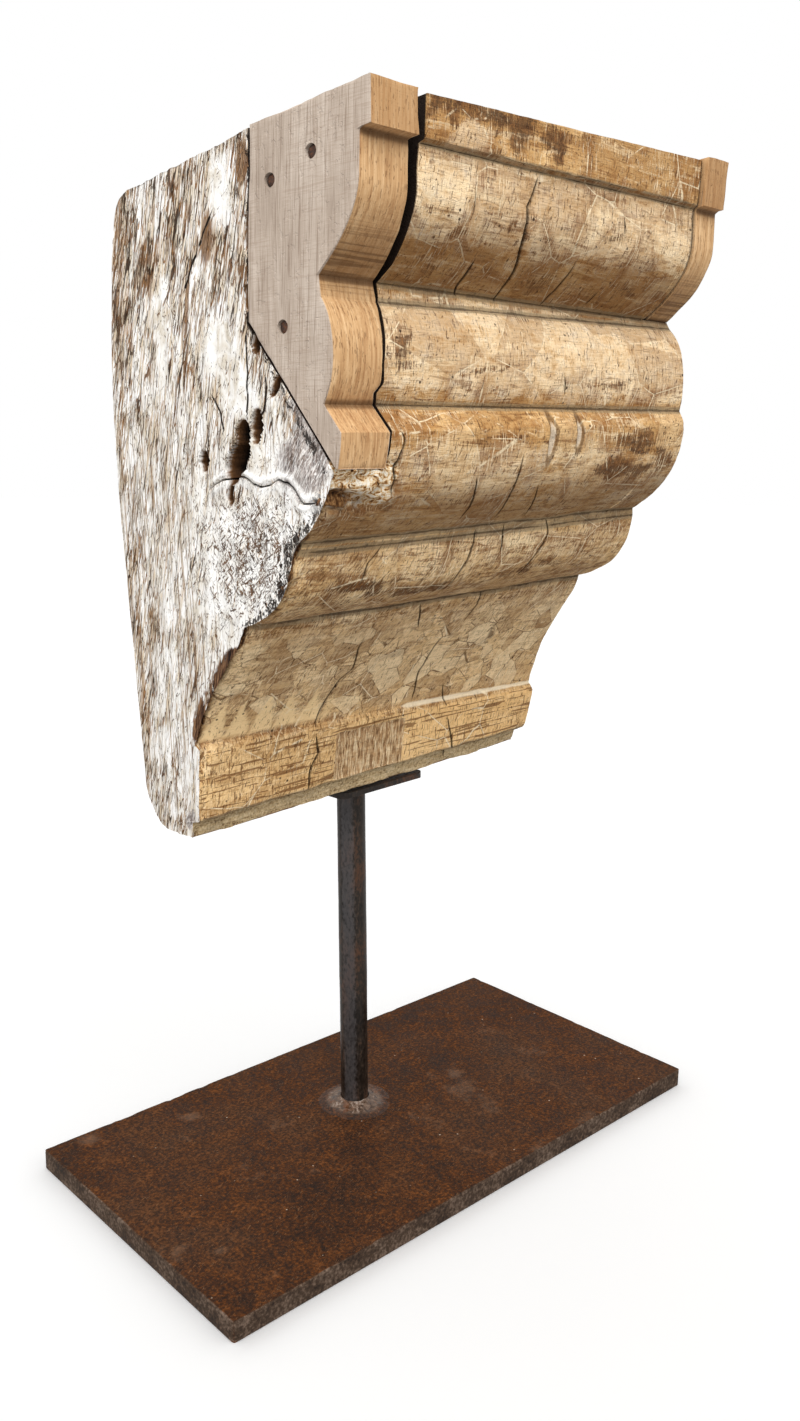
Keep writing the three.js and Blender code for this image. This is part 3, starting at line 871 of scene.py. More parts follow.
def front_wear(points, front, torn):
    """How far wear moves the front: uneven carving, worn arrises, dents and splintered places.

    Also gives the marks of the dents, the patch and the splinters.
    """
    x, _, z = points.T
    below_fillet = 1 - 0.75 * smooth(z, 270, 276)
    swell = (0.42 * fractal(points, (34, 34, 24), 1) + 0.26 * fractal(points, (9, 9, 7), 2)) * below_fillet
    fibre = 0.13 * fractal(points, (3.0, 3.0, 11), 3, 2) * below_fillet
    lift = front * (swell + fibre)
    ragged = np.clip(0.45 + fractal(points, 11, 7), 0, 1.6)
    for moulding_line, reach in worn_arrises:
        lift -= front * near_line(points, moulding_line, reach) * ragged * 0.75
    dent = np.zeros(len(points))
    for place, height, across, length, deep in arris_dents.values():
        lift -= front * deep * bell(((x - place) / across) ** 2, (z - height) / length)
        dent = np.maximum(dent, bell((x - place) / across, (z - height) / length))
    patch = (window(x, patch_left - 2, patch_left + 2, patch_right - 3, patch_right + 3)
             * window(z, patch_low - 1, patch_low + 3, patch_high - 3, patch_high))
    fan = x - patch_left + (z - patch_low) * 0.25 * (x + 10) / 20
    ribs = np.sin(fan * 1.75 + 1.3 * fractal(points, 9, 21)) * 0.4
    lift -= front * patch * (0.9 + ribs)
    splinter_edge = 5 * fractal(points, (9, 9, 9), 24)
    splinter = (smooth(-x + splinter_edge, -splinter_right, -splinter_right + 9)
                * smooth(z + 0.6 * splinter_edge, splinter_low, splinter_low + 6)
                * smooth(-z, -splinter_high, -splinter_high + 6))
    curled = np.abs(fractal(points, (10, 10, 5.5), 25))
    lift += front * splinter * (2.2 * torn + 3.2 * curled - 1.6)
    pit_x, pit_z, pit_across, pit_up, pit_depth = splinter_pit
    lift -= front * pit_depth * bell((x - pit_x) / pit_across, (z - pit_z) / pit_up)
    return lift, {"dent": dent, "patch": patch, "splinter": splinter}


def left_wear(points, inner_left, edge_gap):
    """How far wear moves the left face: raised grain, weathered and swirling parts, and the split's lip.

    Also gives the marks of those parts.
    """
    _, y, z = points.T
    weather = bell((edge_gap - 12) / 14, (z - 176) / 22) + bell((y + 100) / 16, (z - 160) / 12)
    swirl = bell((y + 76) / 36, (z - 124) / 30)
    smudge = bell((y + 24) / 6, (z - 8) / 7)
    streaks = 0.3 * fractal(points, (40, 3.4, 34), 5) + 0.4 * fractal(points, (60, 50, 60), 4)
    rough = np.clip(weather + swirl * 0.9, 0, 1)
    lift = inner_left * (streaks + rough * 0.8 * fractal(points, (6, 6.5, 8), 6, 4))
    chips = np.clip(fractal(points, (12, 12, 16), 16) - 0.25, 0, 1)
    lift -= inner_left * 1.6 * chips * np.clip(swirl + weather, 0, 1)
    away = np.abs(side_of_path(y, z, split_path))
    lift += inner_left * 0.8 * bell((away - 1.7) / 0.9) * split_opening(y)
    lip = inner_left * bell((away - 2.2) / 1.2) * split_opening(y)
    return lift, {"weather": np.maximum(weather, smudge), "swirl": swirl, "lip": lip}


def front_marks(points, x, z, drift_x, drift_z):
    """Furrows, stains, and the parts of the fascia; x and z are from before the wear."""
    furrow = np.zeros(len(points))
    for moulding_line, reach in furrows:
        furrow = np.maximum(furrow, near_line(points, moulding_line, reach))
    stain = np.zeros(len(points))
    for place, height, across, up, strength in stains.values():
        stain = np.maximum(stain, strength * bell((drift_x - place) / across, (drift_z - height) / up))
    fascia_low = at_share(fascia_foot, share_of(x))[:, 1]
    fascia_high = at_share(ogee_foot, share_of(x))[:, 1]
    tooth = 1 - np.abs(2 * ((x + 2.5 * fractal(points, (18, 18, 40), 35)) / tooth_width % 1) - 1)
    teeth = (smooth(tooth_height * tooth - z + fascia_high + 1.5, -0.6, 0.6)
             * smooth(z - fascia_high, 0.8, 2.2) * smooth(-x, 40, 50))
    return {
        "furrow": furrow,
        "stain": stain,
        "teeth": teeth,
        "ledge": near_line(points, ogee_foot, 1.9) * (0.5 + 0.5 * smooth(x, 2, 10)),
        "fascia": smooth(fascia_high - 2.5 - z, -1.5, 1.5) * (0.6 + 0.6 * smooth(x, -20, 30)),
        "reveal": smooth(fascia_low - z, 0.2, 1.8),
        "lower": smooth(-z, -150, -120),
        "flaked": smooth(-z, -96, -78) * smooth(z - fascia_high, 0.5, 2.5),
    }


def left_marks(points, y, z, drift_z, edge_gap):
    """Left face: bare, chalky and cracked places, chips with painted gap shade; y and z are from before the
    wear.
    """
    bare = np.zeros(len(points))
    for depth, height, across, up, lean, strength in bare_places.values():
        leaning_y = y + lean * (z - bare_lean_height)
        bare += strength * bell((leaning_y - depth) / across, (z - height) / up)
    drift_y = y + 3.0 * fractal(points, (9, 9, 14), 33)
    chalky = np.zeros(len(points))
    for depth, height, across, up in chalky_places.values():
        chalky = np.maximum(chalky, bell((drift_y - depth) / across, (drift_z - height) / up))
    crack_side = np.full(len(points), 5.0)
    wander_y = y + 0.5 * fractal(points, 5.0, 34)
    for crack in left_cracks:
        side = side_of_path(wander_y, z, crack)
        crack_side = np.where(np.abs(side) < np.abs(crack_side), side, crack_side)
    board_back = [left_board_back_top, left_board_back_foot, (-116.0, left_board_tip_height)]
    # Chips along the lower arris and the board's back edge, which the material paints near black as shade
    # in gaps
    chips_and_gap_shade = np.maximum(bell((edge_gap - 4) / 8) * window(z, 92, 100, 148, 158),
                         0.95 * bell(side_of_path(y, z, board_back) / 2.6))
    return {
        "bare": bare,
        "chalky": chalky,
        "crack_near": smooth(-np.abs(crack_side), -3.4, -2.2),
        "crack_side": 0.5 + crack_side / 10,
        "chips_and_gap_shade": chips_and_gap_shade,
    }


def wear_block(piece, region, marks):
    """Moves the block's points to show its wear, and keeps the marks that its materials read."""
    points = points_of(piece)
    normals = normals_of(piece)
    x, y, z = points.T.copy()
    front = region["front"] * (1 - marks["hidden"])
    left = region["left"]
    inner_left = left * (1 - region["front"])
    carved_end = np.maximum(front, left * region["front"])
    others = np.clip(region["right"] + region["back"] + region["top"] + region["bottom"], 0, 1) * (1 - left)
    inner_others = others * (1 - 0.75 * region["front"])
    end_gap = np.maximum(x - block_left, 0)
    end_profile = profile(head_path + middle_path + lower_path, np.array([0.0]), row_spacing)[::-1, 0]
    edge_gap = np.maximum(y - np.interp(z, end_profile[:, 1], end_profile[:, 0]), 0)

    # Wear outwards and inwards, with the checks and the split cut
    torn = fractal(points, (8, 8, 6), 23, 4)
    front_lift, on_front = front_wear(points, front, torn)
    left_lift, on_left = left_wear(points, inner_left, edge_gap)
    lift = front_lift - marks["cut"] + left_lift - 2.6 * marks["split"]
    lift += inner_others * (0.5 * fractal(points, (40, 40, 40), 8) + 0.2 * fractal(points, (4, 4, 30), 9))
    points += normals * lift[:, None]

    # Knot holes, and the broken and frayed left arris
    hollow = np.zeros(len(points))
    for hole in knot_holes.values():
        share = hole_shares(y, z, hole) + 0.16 * fractal(points, 4.5, 12)
        deep = hole[4]
        points[:, 0] += left * deep * smooth(share, 0.0, 0.4)
        # How far into each hole and how deep it is, which the material paints darker as shade
        hollow = np.maximum(hollow, left * smooth(share, -0.08, 0.4) * min(1, 0.5 + deep / 24))
    lost = np.zeros(len(points))
    for height, reach_in, reach_up, deep in arris_losses.values():
        here = bell(end_gap / reach_in, (z - height) / reach_up) * (0.8 + 0.5 * torn)
        points[:, 1] += carved_end * deep * here
        lost = np.maximum(lost, here)
    fraying = np.clip(fractal(points, (5, 5, 6), 14) + 0.3, 0, 1)
    frayed = bell(end_gap / 2.4) * smooth(-z, -150, -140) * fraying
    points[:, 0] += carved_end * 2.6 * frayed
    points[:, 1] += carved_end * 2.4 * frayed
    move_points(piece, points)

    # Marks, on the front, on the left face, and on several sides
    drift_x = x + 8 * fractal(points, (15, 15, 12), 27)
    drift_z = z + 3.2 * fractal(points, (11, 11, 11), 28)
    on_front.update(front_marks(points, x, z, drift_x, drift_z))
    # Downward-facing places, which the front's material darkens as painted shade
    on_front["under"] = smooth(-normals[:, 2], 0.15, 0.85)
    on_left.update(left_marks(points, y, z, drift_z, edge_gap))
    broken = np.maximum(bell(end_gap / 2.6) * window(z, 40, 46, 134, 140), 0.8 * lost)
    broken_share = np.clip(0.95 + fractal(points, (4, 4, 9), 29), 0, 1)
    broken_end = bell(edge_gap / 7.0) * window(z, 40, 46, 86, 92) * broken_share
    # A painted shadow line along the joint with the right board
    right_joint_shade_line = bell((x - right_board_inner + 0.6) / 0.9) * smooth(z, 224, 226)
    fillet_patch = bell((drift_x + 62) / 12, (drift_z - 275) / 5)
    on_several = {
        "paint": np.interp(z, paint_heights, paint_left) + fillet_patch,
        "broken": np.maximum(carved_end * broken, inner_left * broken_end),
        "open_check": np.maximum(marks["checked"] * front, marks["split"]),
        "painted_dark_recess": np.maximum(marks["hidden"], right_joint_shade_line * front),
        "upper": smooth(z, 150, 230),
        "hollow": hollow,
    }
    for side, values in ((front, on_front), (left, on_left), (1, on_several)):
        for name, value in values.items():
            set_mark(piece, name, value * side)
    smooth_shading(piece, 52)


# End boards

def board_mesh(name, front_rows, back_rows, inner, outer, layers, columns):
    """A board between an inner and an outer face, from matching rows down its front and its back.

    Rows are depth and height; inner and outer give each row's place across the corbel.
    """
    rows = len(front_rows) - 1
    left_x, right_x = np.minimum(inner, outer), np.maximum(inner, outer)
    across = np.arange(columns + 1) / columns
    inwards = np.arange(layers + 1) / layers

    def sheet(depths_heights, shares):
        grid = np.zeros((rows + 1, len(shares), 3))
        grid[..., 0] = left_x[:, None] * (1 - shares) + right_x[:, None] * shares
        grid[..., 1:] = depths_heights[:, None]
        return grid

    front = sheet(front_rows, across)
    back = sheet(back_rows, across)
    mix = inwards[None, :, None]
    box = BoxMesh(rows, columns, layers)
    box.put("front", front)
    box.put("back", back)
    box.put("left", front[:, :1] * (1 - mix) + back[:, :1] * mix)
    box.put("right", front[:, -1:] * (1 - mix) + back[:, -1:] * mix)
    turned = inwards[:, None, None]
    box.put("top", front[0][None] * (1 - turned) + back[0][None] * turned)
    box.put("bottom", front[-1][None] * (1 - turned) + back[-1][None] * turned)
    points, faces = box.finish({})
    return new_object(name, points, faces, corbel_matrix), box.regions


def proud_head(share, proud, rise):
    """The head moulding on a board's front edge, whose fillet stands a little proud of the block's."""
    rows = profile(head_path, np.array([share]), 1.0)[:, 0]
    fillet_low = at_share(fillet_foot, [share])[0, 1]
    on_fillet = rows[:, 1] >= fillet_low - 0.01
    rows[on_fillet, 0] -= proud
    rows[:, 1] += rise * smooth(rows[:, 1], fillet_low + 2, fillet_low + 12)
    return rows


def build_left_board():
    """The pale board nailed to the left end, pointed at its foot."""
    head = proud_head(0.0, board_proud, 1.32)
    middle = profile(middle_path, np.array([0.0]), 1.0)[:, 0]
    middle = middle[middle[:, 1] > left_board_tip_height]
    front_rows = np.concatenate([head[:-1], middle])
    shares = np.arange(len(front_rows)) / (len(front_rows) - 1)
    tip = front_rows[-1]
    back_rows = along([left_board_back_top, left_board_back_foot, tip + np.array([0.6, 0.2])], shares)
    inner = left_joint(front_rows[:, 1])
    outer = np.full(len(front_rows), block_left)
    return board_mesh("left_end_timber", front_rows, back_rows, inner, outer, 46, 18)


def build_right_board():
    """The short board at the right end of the head moulding."""
    front_rows = proud_head(1.0, board_proud, 1.1)
    low = front_rows[-1]
    top = front_rows[0]
    shares = np.arange(len(front_rows)) / (len(front_rows) - 1)
    back_rows = along([(right_board_back, top[1] - 4.0), (right_board_back, low[1] + 0.3)], shares)
    inner = np.full(len(front_rows), right_board_inner)
    outer = np.full(len(front_rows), block_right)
    return board_mesh("right_end_timber", front_rows, back_rows, inner, outer, 16, 14)


def wear_board(piece, region, seed):
    """Rubs a board's arrises and keeps the marks that its material reads."""
    points = points_of(piece)
    normals = normals_of(piece)
    rim = np.clip(sum(region.values()) - 1, 0, 1)
    rubbed_and_sheen = rim * np.clip(0.28 + 0.4 * fractal(points, 14, seed), 0, 0.8)
    uneven = 0.10 * fractal(points, (30, 30, 60), seed + 1)
    grain = 0.05 * fractal(points, (2.4, 2.4, 40), seed + 2, 2)
    points += normals * (uneven + grain - rubbed_and_sheen)[:, None]
    move_points(piece, points)
    front = region["front"]
    furrow = np.zeros(len(points))
    for moulding_line, reach in ((ovolo_top, 2.6), (ovolo_foot, 2.6), (roll_foot, 3.0)):
        furrow = np.maximum(furrow, near_line(points, moulding_line, reach) * front)
    set_mark(piece, "fresh", np.clip(front + region["top"], 0, 1) * (1 - 0.85 * region["left"]))
    set_mark(piece, "sawn", bell((points[:, 2] - 231) / 9) * front)
    set_mark(piece, "top_band", smooth(points[:, 2], 266, 272))
    set_mark(piece, "furrow", furrow)
    smooth_shading(piece, 40)


def bore(piece, centre, radius, depth):
    """Cuts a round hole from the left face inwards, along the corbel's width."""
    count = 28
    angles = circle(count)
    ring = np.stack([angles * 0, np.cos(angles) * radius, np.sin(angles) * radius * 0.86], axis=-1)
    outer_end = ring + np.array([block_left - 4.0, centre[0], centre[1]])
    inner_end = ring * np.array([1, 0.9, 0.9]) + np.array([block_left + depth, centre[0], centre[1]])
    faces = ring_faces(2, count)
    faces += [list(range(count))[::-1], list(range(count, 2 * count))]
    tool = new_object("boring_tool", np.concatenate([outer_end, inner_end]), faces, piece.matrix_world)
    cutter = piece.modifiers.new("bore", "BOOLEAN")
    cutter.operation = "DIFFERENCE"
    cutter.solver = "EXACT"
    cutter.object = tool
    bpy.context.view_layer.update()
    graph = bpy.context.evaluated_depsgraph_get()
    cut_mesh = bpy.data.meshes.new_from_object(piece.evaluated_get(graph))
    piece.modifiers.remove(cutter)
    piece.data = cut_mesh
    bpy.data.objects.remove(tool)


def build_nail(name, place):
    """A hand-driven nail: a low domed head, dented by the hammer, with its shank in the wood."""
    count = 24
    rings = [(0.0, 0.0), (0.8, -0.05), (1.6, 0.0), (2.2, 0.12), (2.6, 0.4), (2.7, 0.8), (2.5, 1.3),
             (1.5, 1.6), (1.3, 2.2), (1.25, 6.0), (1.1, 12.0), (0.7, 15.6), (0.0, 16.6)]
    angles = circle(count)
    points = []
    for radius, inwards in rings:
        ring = np.zeros((count, 3))
        ring[:, 0] = inwards
        ring[:, 1] = radius * np.cos(angles)
        ring[:, 2] = radius * 0.84 * np.sin(angles)
        ring[:, 0] += 0.12 * fractal(ring + np.array([0, place[0], place[1]]), 1.8, 41) * (inwards < 1)
        points.append(ring)
    points = np.concatenate(points) + np.array([block_left + nail_sunk, place[0], place[1]])
    piece = new_object(name, points, ring_faces(len(rings), count), corbel_matrix)
    merge_close(piece, 0.01)
    smooth_shading(piece, 50)
    return piece


# Stand

def rounded_plate(name, low, high, corner, edge, spacing, matrix):
    """A plate with rounded corners and softened edges, fine enough along its rim to show nicks."""
    def places(start, end):
        near = np.array([0.0, 0.25, 0.5, 0.8, 1.2, 1.8, 2.5, 3.4, 5.0])
        count = max(2, round((end - start - 10) / spacing))
        middle = np.linspace(start + 5, end - 5, count + 1)[1:-1]
        return np.concatenate([start + near, middle, end - near[::-1]])
    xs, ys = places(low[0], high[0]), places(low[1], high[1])
    thickness = high[2] - low[2]
    zs = high[2] - thickness * np.array([0, 0.03, 0.06, 0.1, 0.2, 0.35, 0.5, 0.65, 0.8, 0.9, 0.94, 0.97, 1])
    box = BoxMesh(len(zs) - 1, len(xs) - 1, len(ys) - 1)

    def grid(rows, columns, make):
        return np.array([[make(row, column) for column in columns] for row in rows])

    box.put("front", grid(zs, xs, lambda z, x: (x, ys[0], z)))
    box.put("back", grid(zs, xs, lambda z, x: (x, ys[-1], z)))
    box.put("left", grid(zs, ys, lambda z, y: (xs[0], y, z)))
    box.put("right", grid(zs, ys, lambda z, y: (xs[-1], y, z)))
    box.put("top", grid(ys, xs, lambda y, x: (x, y, zs[0])))
    box.put("bottom", grid(ys, xs, lambda y, x: (x, y, zs[-1])))
    points, faces = box.finish({"bottom": (6, 6)})
    points = round_off(points, (low, high), corner)
    middle = (np.array(low) + np.array(high)) / 2
    outward = points[:, :2] - middle[:2]
    half = (np.array(high) - np.array(low))[:2] / 2
    past = np.clip(np.abs(outward) - (half - edge), 0, None)
    over = np.clip(np.abs(points[:, 2] - middle[2]) - (thickness / 2 - edge), 0, None)
    beyond = past.max(axis=1)
    trim = np.maximum(beyond, over) / np.maximum(np.hypot(beyond, over), 1e-9)
    outward -= np.sign(outward) * past * (1 - trim)[:, None]
    points[:, :2] = middle[:2] + outward
    points[:, 2] -= np.sign(points[:, 2] - middle[2]) * over * (1 - trim)
    return new_object(name, points, faces, matrix)


def round_off(points, box, radius):
    """Rounds a box's upright edges to a radius."""
    middle = (np.array(box[0]) + np.array(box[1])) / 2
    half = (np.array(box[1]) - np.array(box[0])) / 2
    offset = points - middle
    past = np.clip(np.abs(offset) - (half - radius), 0, None)[:, :2]
    corner_way = np.hypot(past[:, 0], past[:, 1])
    shrink = np.where(corner_way > 0, past.max(axis=1) / np.maximum(corner_way, 1e-9), 1)
    offset[:, :2] -= np.sign(offset[:, :2]) * past * (1 - shrink)[:, None]
    return middle + offset


def build_plate():
    """The heavy base plate, with nicked edges."""
    low = (-plate_length / 2, -plate_depth / 2, 0.0)
    high = (plate_length / 2, plate_depth / 2, plate_thickness)
    piece = rounded_plate(
        "base_steel", low, high, plate_corner_radius, plate_edge_radius, 2.6, Matrix.Identity(4))
    points = points_of(piece)
    normals = normals_of(piece)
    from_edge = np.minimum(high[0] - np.abs(points[:, 0]), high[1] - np.abs(points[:, 1]))
    rim = bell(from_edge / 1.4) * smooth(points[:, 2], 5.5, 8.5)
    nick = rim * np.clip(fractal(points, (7, 7, 4), 51) - 0.25, 0, 1) * 0.8
    dent = 0.06 * fractal(points, (9, 9, 9), 52) * (points[:, 2] > 1)
    points += normals * (dent - nick)[:, None]
    points[:, 2] = np.maximum(points[:, 2], 0)
    move_points(piece, points)
    set_mark(piece, "edge", bell(from_edge / 1.6) * (points[:, 2] > 0.5))
    smooth_shading(piece, 60)
    return piece


def build_seat():
    """The small plate under the block, which the rod carries."""
    low = (seat_left, seat_front, seat_height - seat_thickness)
    high = (seat_right, seat_back, seat_height)
    piece = rounded_plate("seat_steel", low, high, seat_corner_radius, 0.5, 2.0, rod_matrix)
    smooth_shading(piece, 60)
    return piece


def build_rod():
    """The leaning round bar, a little uneven as rolled bar is."""
    count = 64
    rings = 150
    angles = circle(count)
    heights = np.linspace(rod_foot_lift, seat_height - seat_thickness, rings)
    points = np.zeros((rings, count, 3))
    points[..., 0] = rod_radius * np.cos(angles)
    points[..., 1] = rod_radius * np.sin(angles)
    points[..., 2] = heights[:, None]
    uneven = 0.07 * fractal(points, (5, 5, 26), 61) + 0.03 * fractal(points, 2.2, 62)
    points[..., :2] *= (1 + uneven / rod_radius)[..., None]
    faces = ring_faces(rings, count)
    faces += [list(range(count))[::-1], list(range((rings - 1) * count, rings * count))]
    piece = new_object("rod_steel", points.reshape(-1, 3), faces, rod_matrix)
    # A painted highlight: a paler stripe down one side of the rod
    highlight_side = math.radians(208)
    set_mark(piece, "rubbed_and_sheen", np.tile(smooth(np.cos(angles - highlight_side), 0.72, 1.0), rings))
    smooth_shading(piece, 60)
    return piece


def build_weld():
    """A low, broad, lumpy weld round the rod's foot."""
    count = 120
    rings = 26
    angles = circle(count)
    shares = np.linspace(0, 1, rings)
    swell = 1 + 0.16 * np.sin(3 * angles + 0.6) + 0.14 * np.sin(5 * angles + 2.0)
    swell += 0.08 * np.sin(11 * angles)
    points = np.zeros((rings, count, 3))
    outer = weld_inner_radius + (weld_outer_radius - weld_inner_radius) * (0.86 + 0.14 * swell)
    radius = weld_inner_radius + (outer - weld_inner_radius)[None] * shares[:, None]
    points[..., 0] = radius * np.cos(angles)
    points[..., 1] = radius * np.sin(angles)
    height = weld_height * (1 - shares[:, None]) ** 1.6 * (0.9 + 0.22 * (swell - 1)[None])
    inside = np.sin(np.pi * np.clip(shares, 0.02, 0.98))[:, None]
    ripple = 0.8 * fractal(points, (7, 7, 7), 71) * inside + 0.2 * fractal(points, 2.4, 72) * inside
    points[..., 2] = np.maximum(height + ripple, 0.04 * (1 - shares[:, None]))
    centre = np.array([rod_foot[0], rod_foot[1], plate_thickness])
    skirt = points[-1].copy()
    skirt[:, 2] = -0.02
    core = points[0].copy()
    core[:, 2] = -0.02
    rows = np.concatenate([core[None], points, skirt[None]])
    faces = ring_faces(len(rows), count, closed=True)
    piece = new_object("weld_steel_bead", rows.reshape(-1, 3) + centre, faces)
    ring_shares = np.concatenate([[0.0], shares, [1.0]])
    set_mark(piece, "skirt", np.repeat(smooth(ring_shares, 0.25, 1.0), count))
    merge_close(piece, 0.001)
    smooth_shading(piece, 60)
    return piece


# Materials

def tone(red, green, blue):
    """A colour given as it looks on a screen, from 0 to 255, as the linear colour a shader needs."""
    def straight(level):
        level /= 255
        return level / 12.92 if level <= 0.04045 else ((level + 0.055) / 1.055) ** 2.4
    return (straight(red), straight(green), straight(blue), 1.0)


class Surface:
    """A procedural material built up in coats, from noise and from the marks kept on the mesh.

    Sizes are in millimetres. Colours are other nodes' outputs, or red, green and blue from 0 to 255.
    A value may be a list of pairs of value and weight, which are added up.
    """

    def __init__(self, name):
        self.material = bpy.data.materials.new(name)
        self.material.use_nodes = True
        self.nodes = self.material.node_tree.nodes
        self.links = self.material.node_tree.links
        self.shader = self.nodes["Principled BSDF"]
        self.place = self.nodes.new("ShaderNodeTexCoord").outputs["Object"]
        self.colour = None

    def join(self, value, socket):
        """Links a node's output to a socket, or sets a plain value or a colour on it."""
        if isinstance(value, bpy.types.NodeSocket):
            self.links.new(value, socket)
        elif isinstance(value, tuple):
            socket.default_value = tone(*value)
        else:
            socket.default_value = value

    def add(self, kind, **values):
        """A new node with plain values on the named inputs."""
        node = self.nodes.new(kind)
        for name, value in values.items():
            node.inputs[name.replace("_", " ")].default_value = value
        return node

    def stretched(self, size, turn=(0, 0, 0)):
        """Places measured in lengths of size along each direction."""
        node = self.add("ShaderNodeMapping", Rotation=[math.radians(angle) for angle in turn],
                        Scale=[length * MM for length in size])
        node.vector_type = "TEXTURE"
        self.links.new(self.place, node.inputs["Vector"])
        return node.outputs["Vector"]

    def noise(self, size, detail=3.0, roughness=0.55, warp=0.0, turn=(0, 0, 0)):
        """Cloudy noise, about 0.5 on average."""
        node = self.add(
            "ShaderNodeTexNoise", Scale=1.0, Detail=detail, Roughness=roughness, Distortion=warp)
        self.links.new(self.stretched(size, turn), node.inputs["Vector"])
        return node.outputs["Fac"]

    def cells(self, size, feature):
        """Irregular cells: the distance to a cell's middle or to its edge, or a tint of each cell's own."""
        node = self.add("ShaderNodeTexVoronoi", Scale=1.0)
        node.feature = "F1" if feature == "TINT" else feature
        self.links.new(self.stretched(size), node.inputs["Vector"])
        return node.outputs["Color"] if feature == "TINT" else node.outputs["Distance"]

    def mark(self, name):
        """A mark kept on the mesh."""
        node = self.nodes.new("ShaderNodeAttribute")
        node.attribute_name = name
        return node.outputs["Fac"]

    def total(self, value):
        """A value as it is, or the weighted sum of a list of pairs."""
        if not isinstance(value, list):
            return value
        result = 0.0
        for part, weight in value:
            node = self.nodes.new("ShaderNodeMath")
            node.operation = "MULTIPLY_ADD"
            self.join(part, node.inputs[0])
            node.inputs[1].default_value = weight
            self.join(result, node.inputs[2])
            result = node.outputs["Value"]
        return result

    def step(self, value, low, high, start=0.0, end=1.0):
        """Turns a value between low and high into one from start to end, softly."""
        node = self.add("ShaderNodeMapRange", From_Min=low, From_Max=high, To_Min=start, To_Max=end)
        node.interpolation_type = "SMOOTHSTEP"
        self.links.new(self.total(value), node.inputs["Value"])
        return node.outputs["Result"]

    def maths(self, operation, one, other):
        """The result of an operation on two values."""
        node = self.nodes.new("ShaderNodeMath")
        node.operation = operation
        self.join(one, node.inputs[0])
        self.join(other, node.inputs[1])
        return node.outputs["Value"]

    def times(self, value, *others):
        """The product of several values."""
        for other in others:
            value = self.maths("MULTIPLY", value, other)
        return value

    def ramp(self, value, *stops):
        """A run of colours along a value; stops are pairs of place and colour."""
        node = self.nodes.new("ShaderNodeValToRGB")
        elements = node.color_ramp.elements
        for element, (position, colour) in zip(elements, (stops[0], stops[-1])):
            element.position = position
            element.color = tone(*colour)
        for position, colour in stops[1:-1]:
            elements.new(position).color = tone(*colour)
        self.links.new(self.total(value), node.inputs["Fac"])
        return node.outputs["Color"]

    def blend(self, share, one, other):
        """One colour going over to another as share goes from 0 to 1."""
        node = self.nodes.new("ShaderNodeMix")
        node.data_type = "RGBA"
        self.join(share, node.inputs["Factor"])
        self.join(one, node.inputs[6])
        self.join(other, node.inputs[7])
        return node.outputs[2]

    def coat(self, colour, share, strength=1.0):
        """Lays a colour over the coats so far, as strongly as share and strength say."""
        if strength < 1.0:
            share = self.times(share, strength)
        self.colour = self.blend(share, self.colour, colour)

    def finish(self, roughness, height, depth, specular=0.5, metallic=0.0):
        """Links the coats, the roughness and a bump of the given depth to the shader."""
        self.links.new(self.colour, self.shader.inputs["Base Color"])
        self.links.new(roughness, self.shader.inputs["Roughness"])
        self.shader.inputs["Specular IOR Level"].default_value = specular
        self.shader.inputs["Metallic"].default_value = metallic
        bump = self.add("ShaderNodeBump", Strength=1.0, Distance=depth * MM)
        self.links.new(self.total(height), bump.inputs["Height"])
        self.links.new(bump.outputs["Normal"], self.shader.inputs["Normal"])
        return self.material


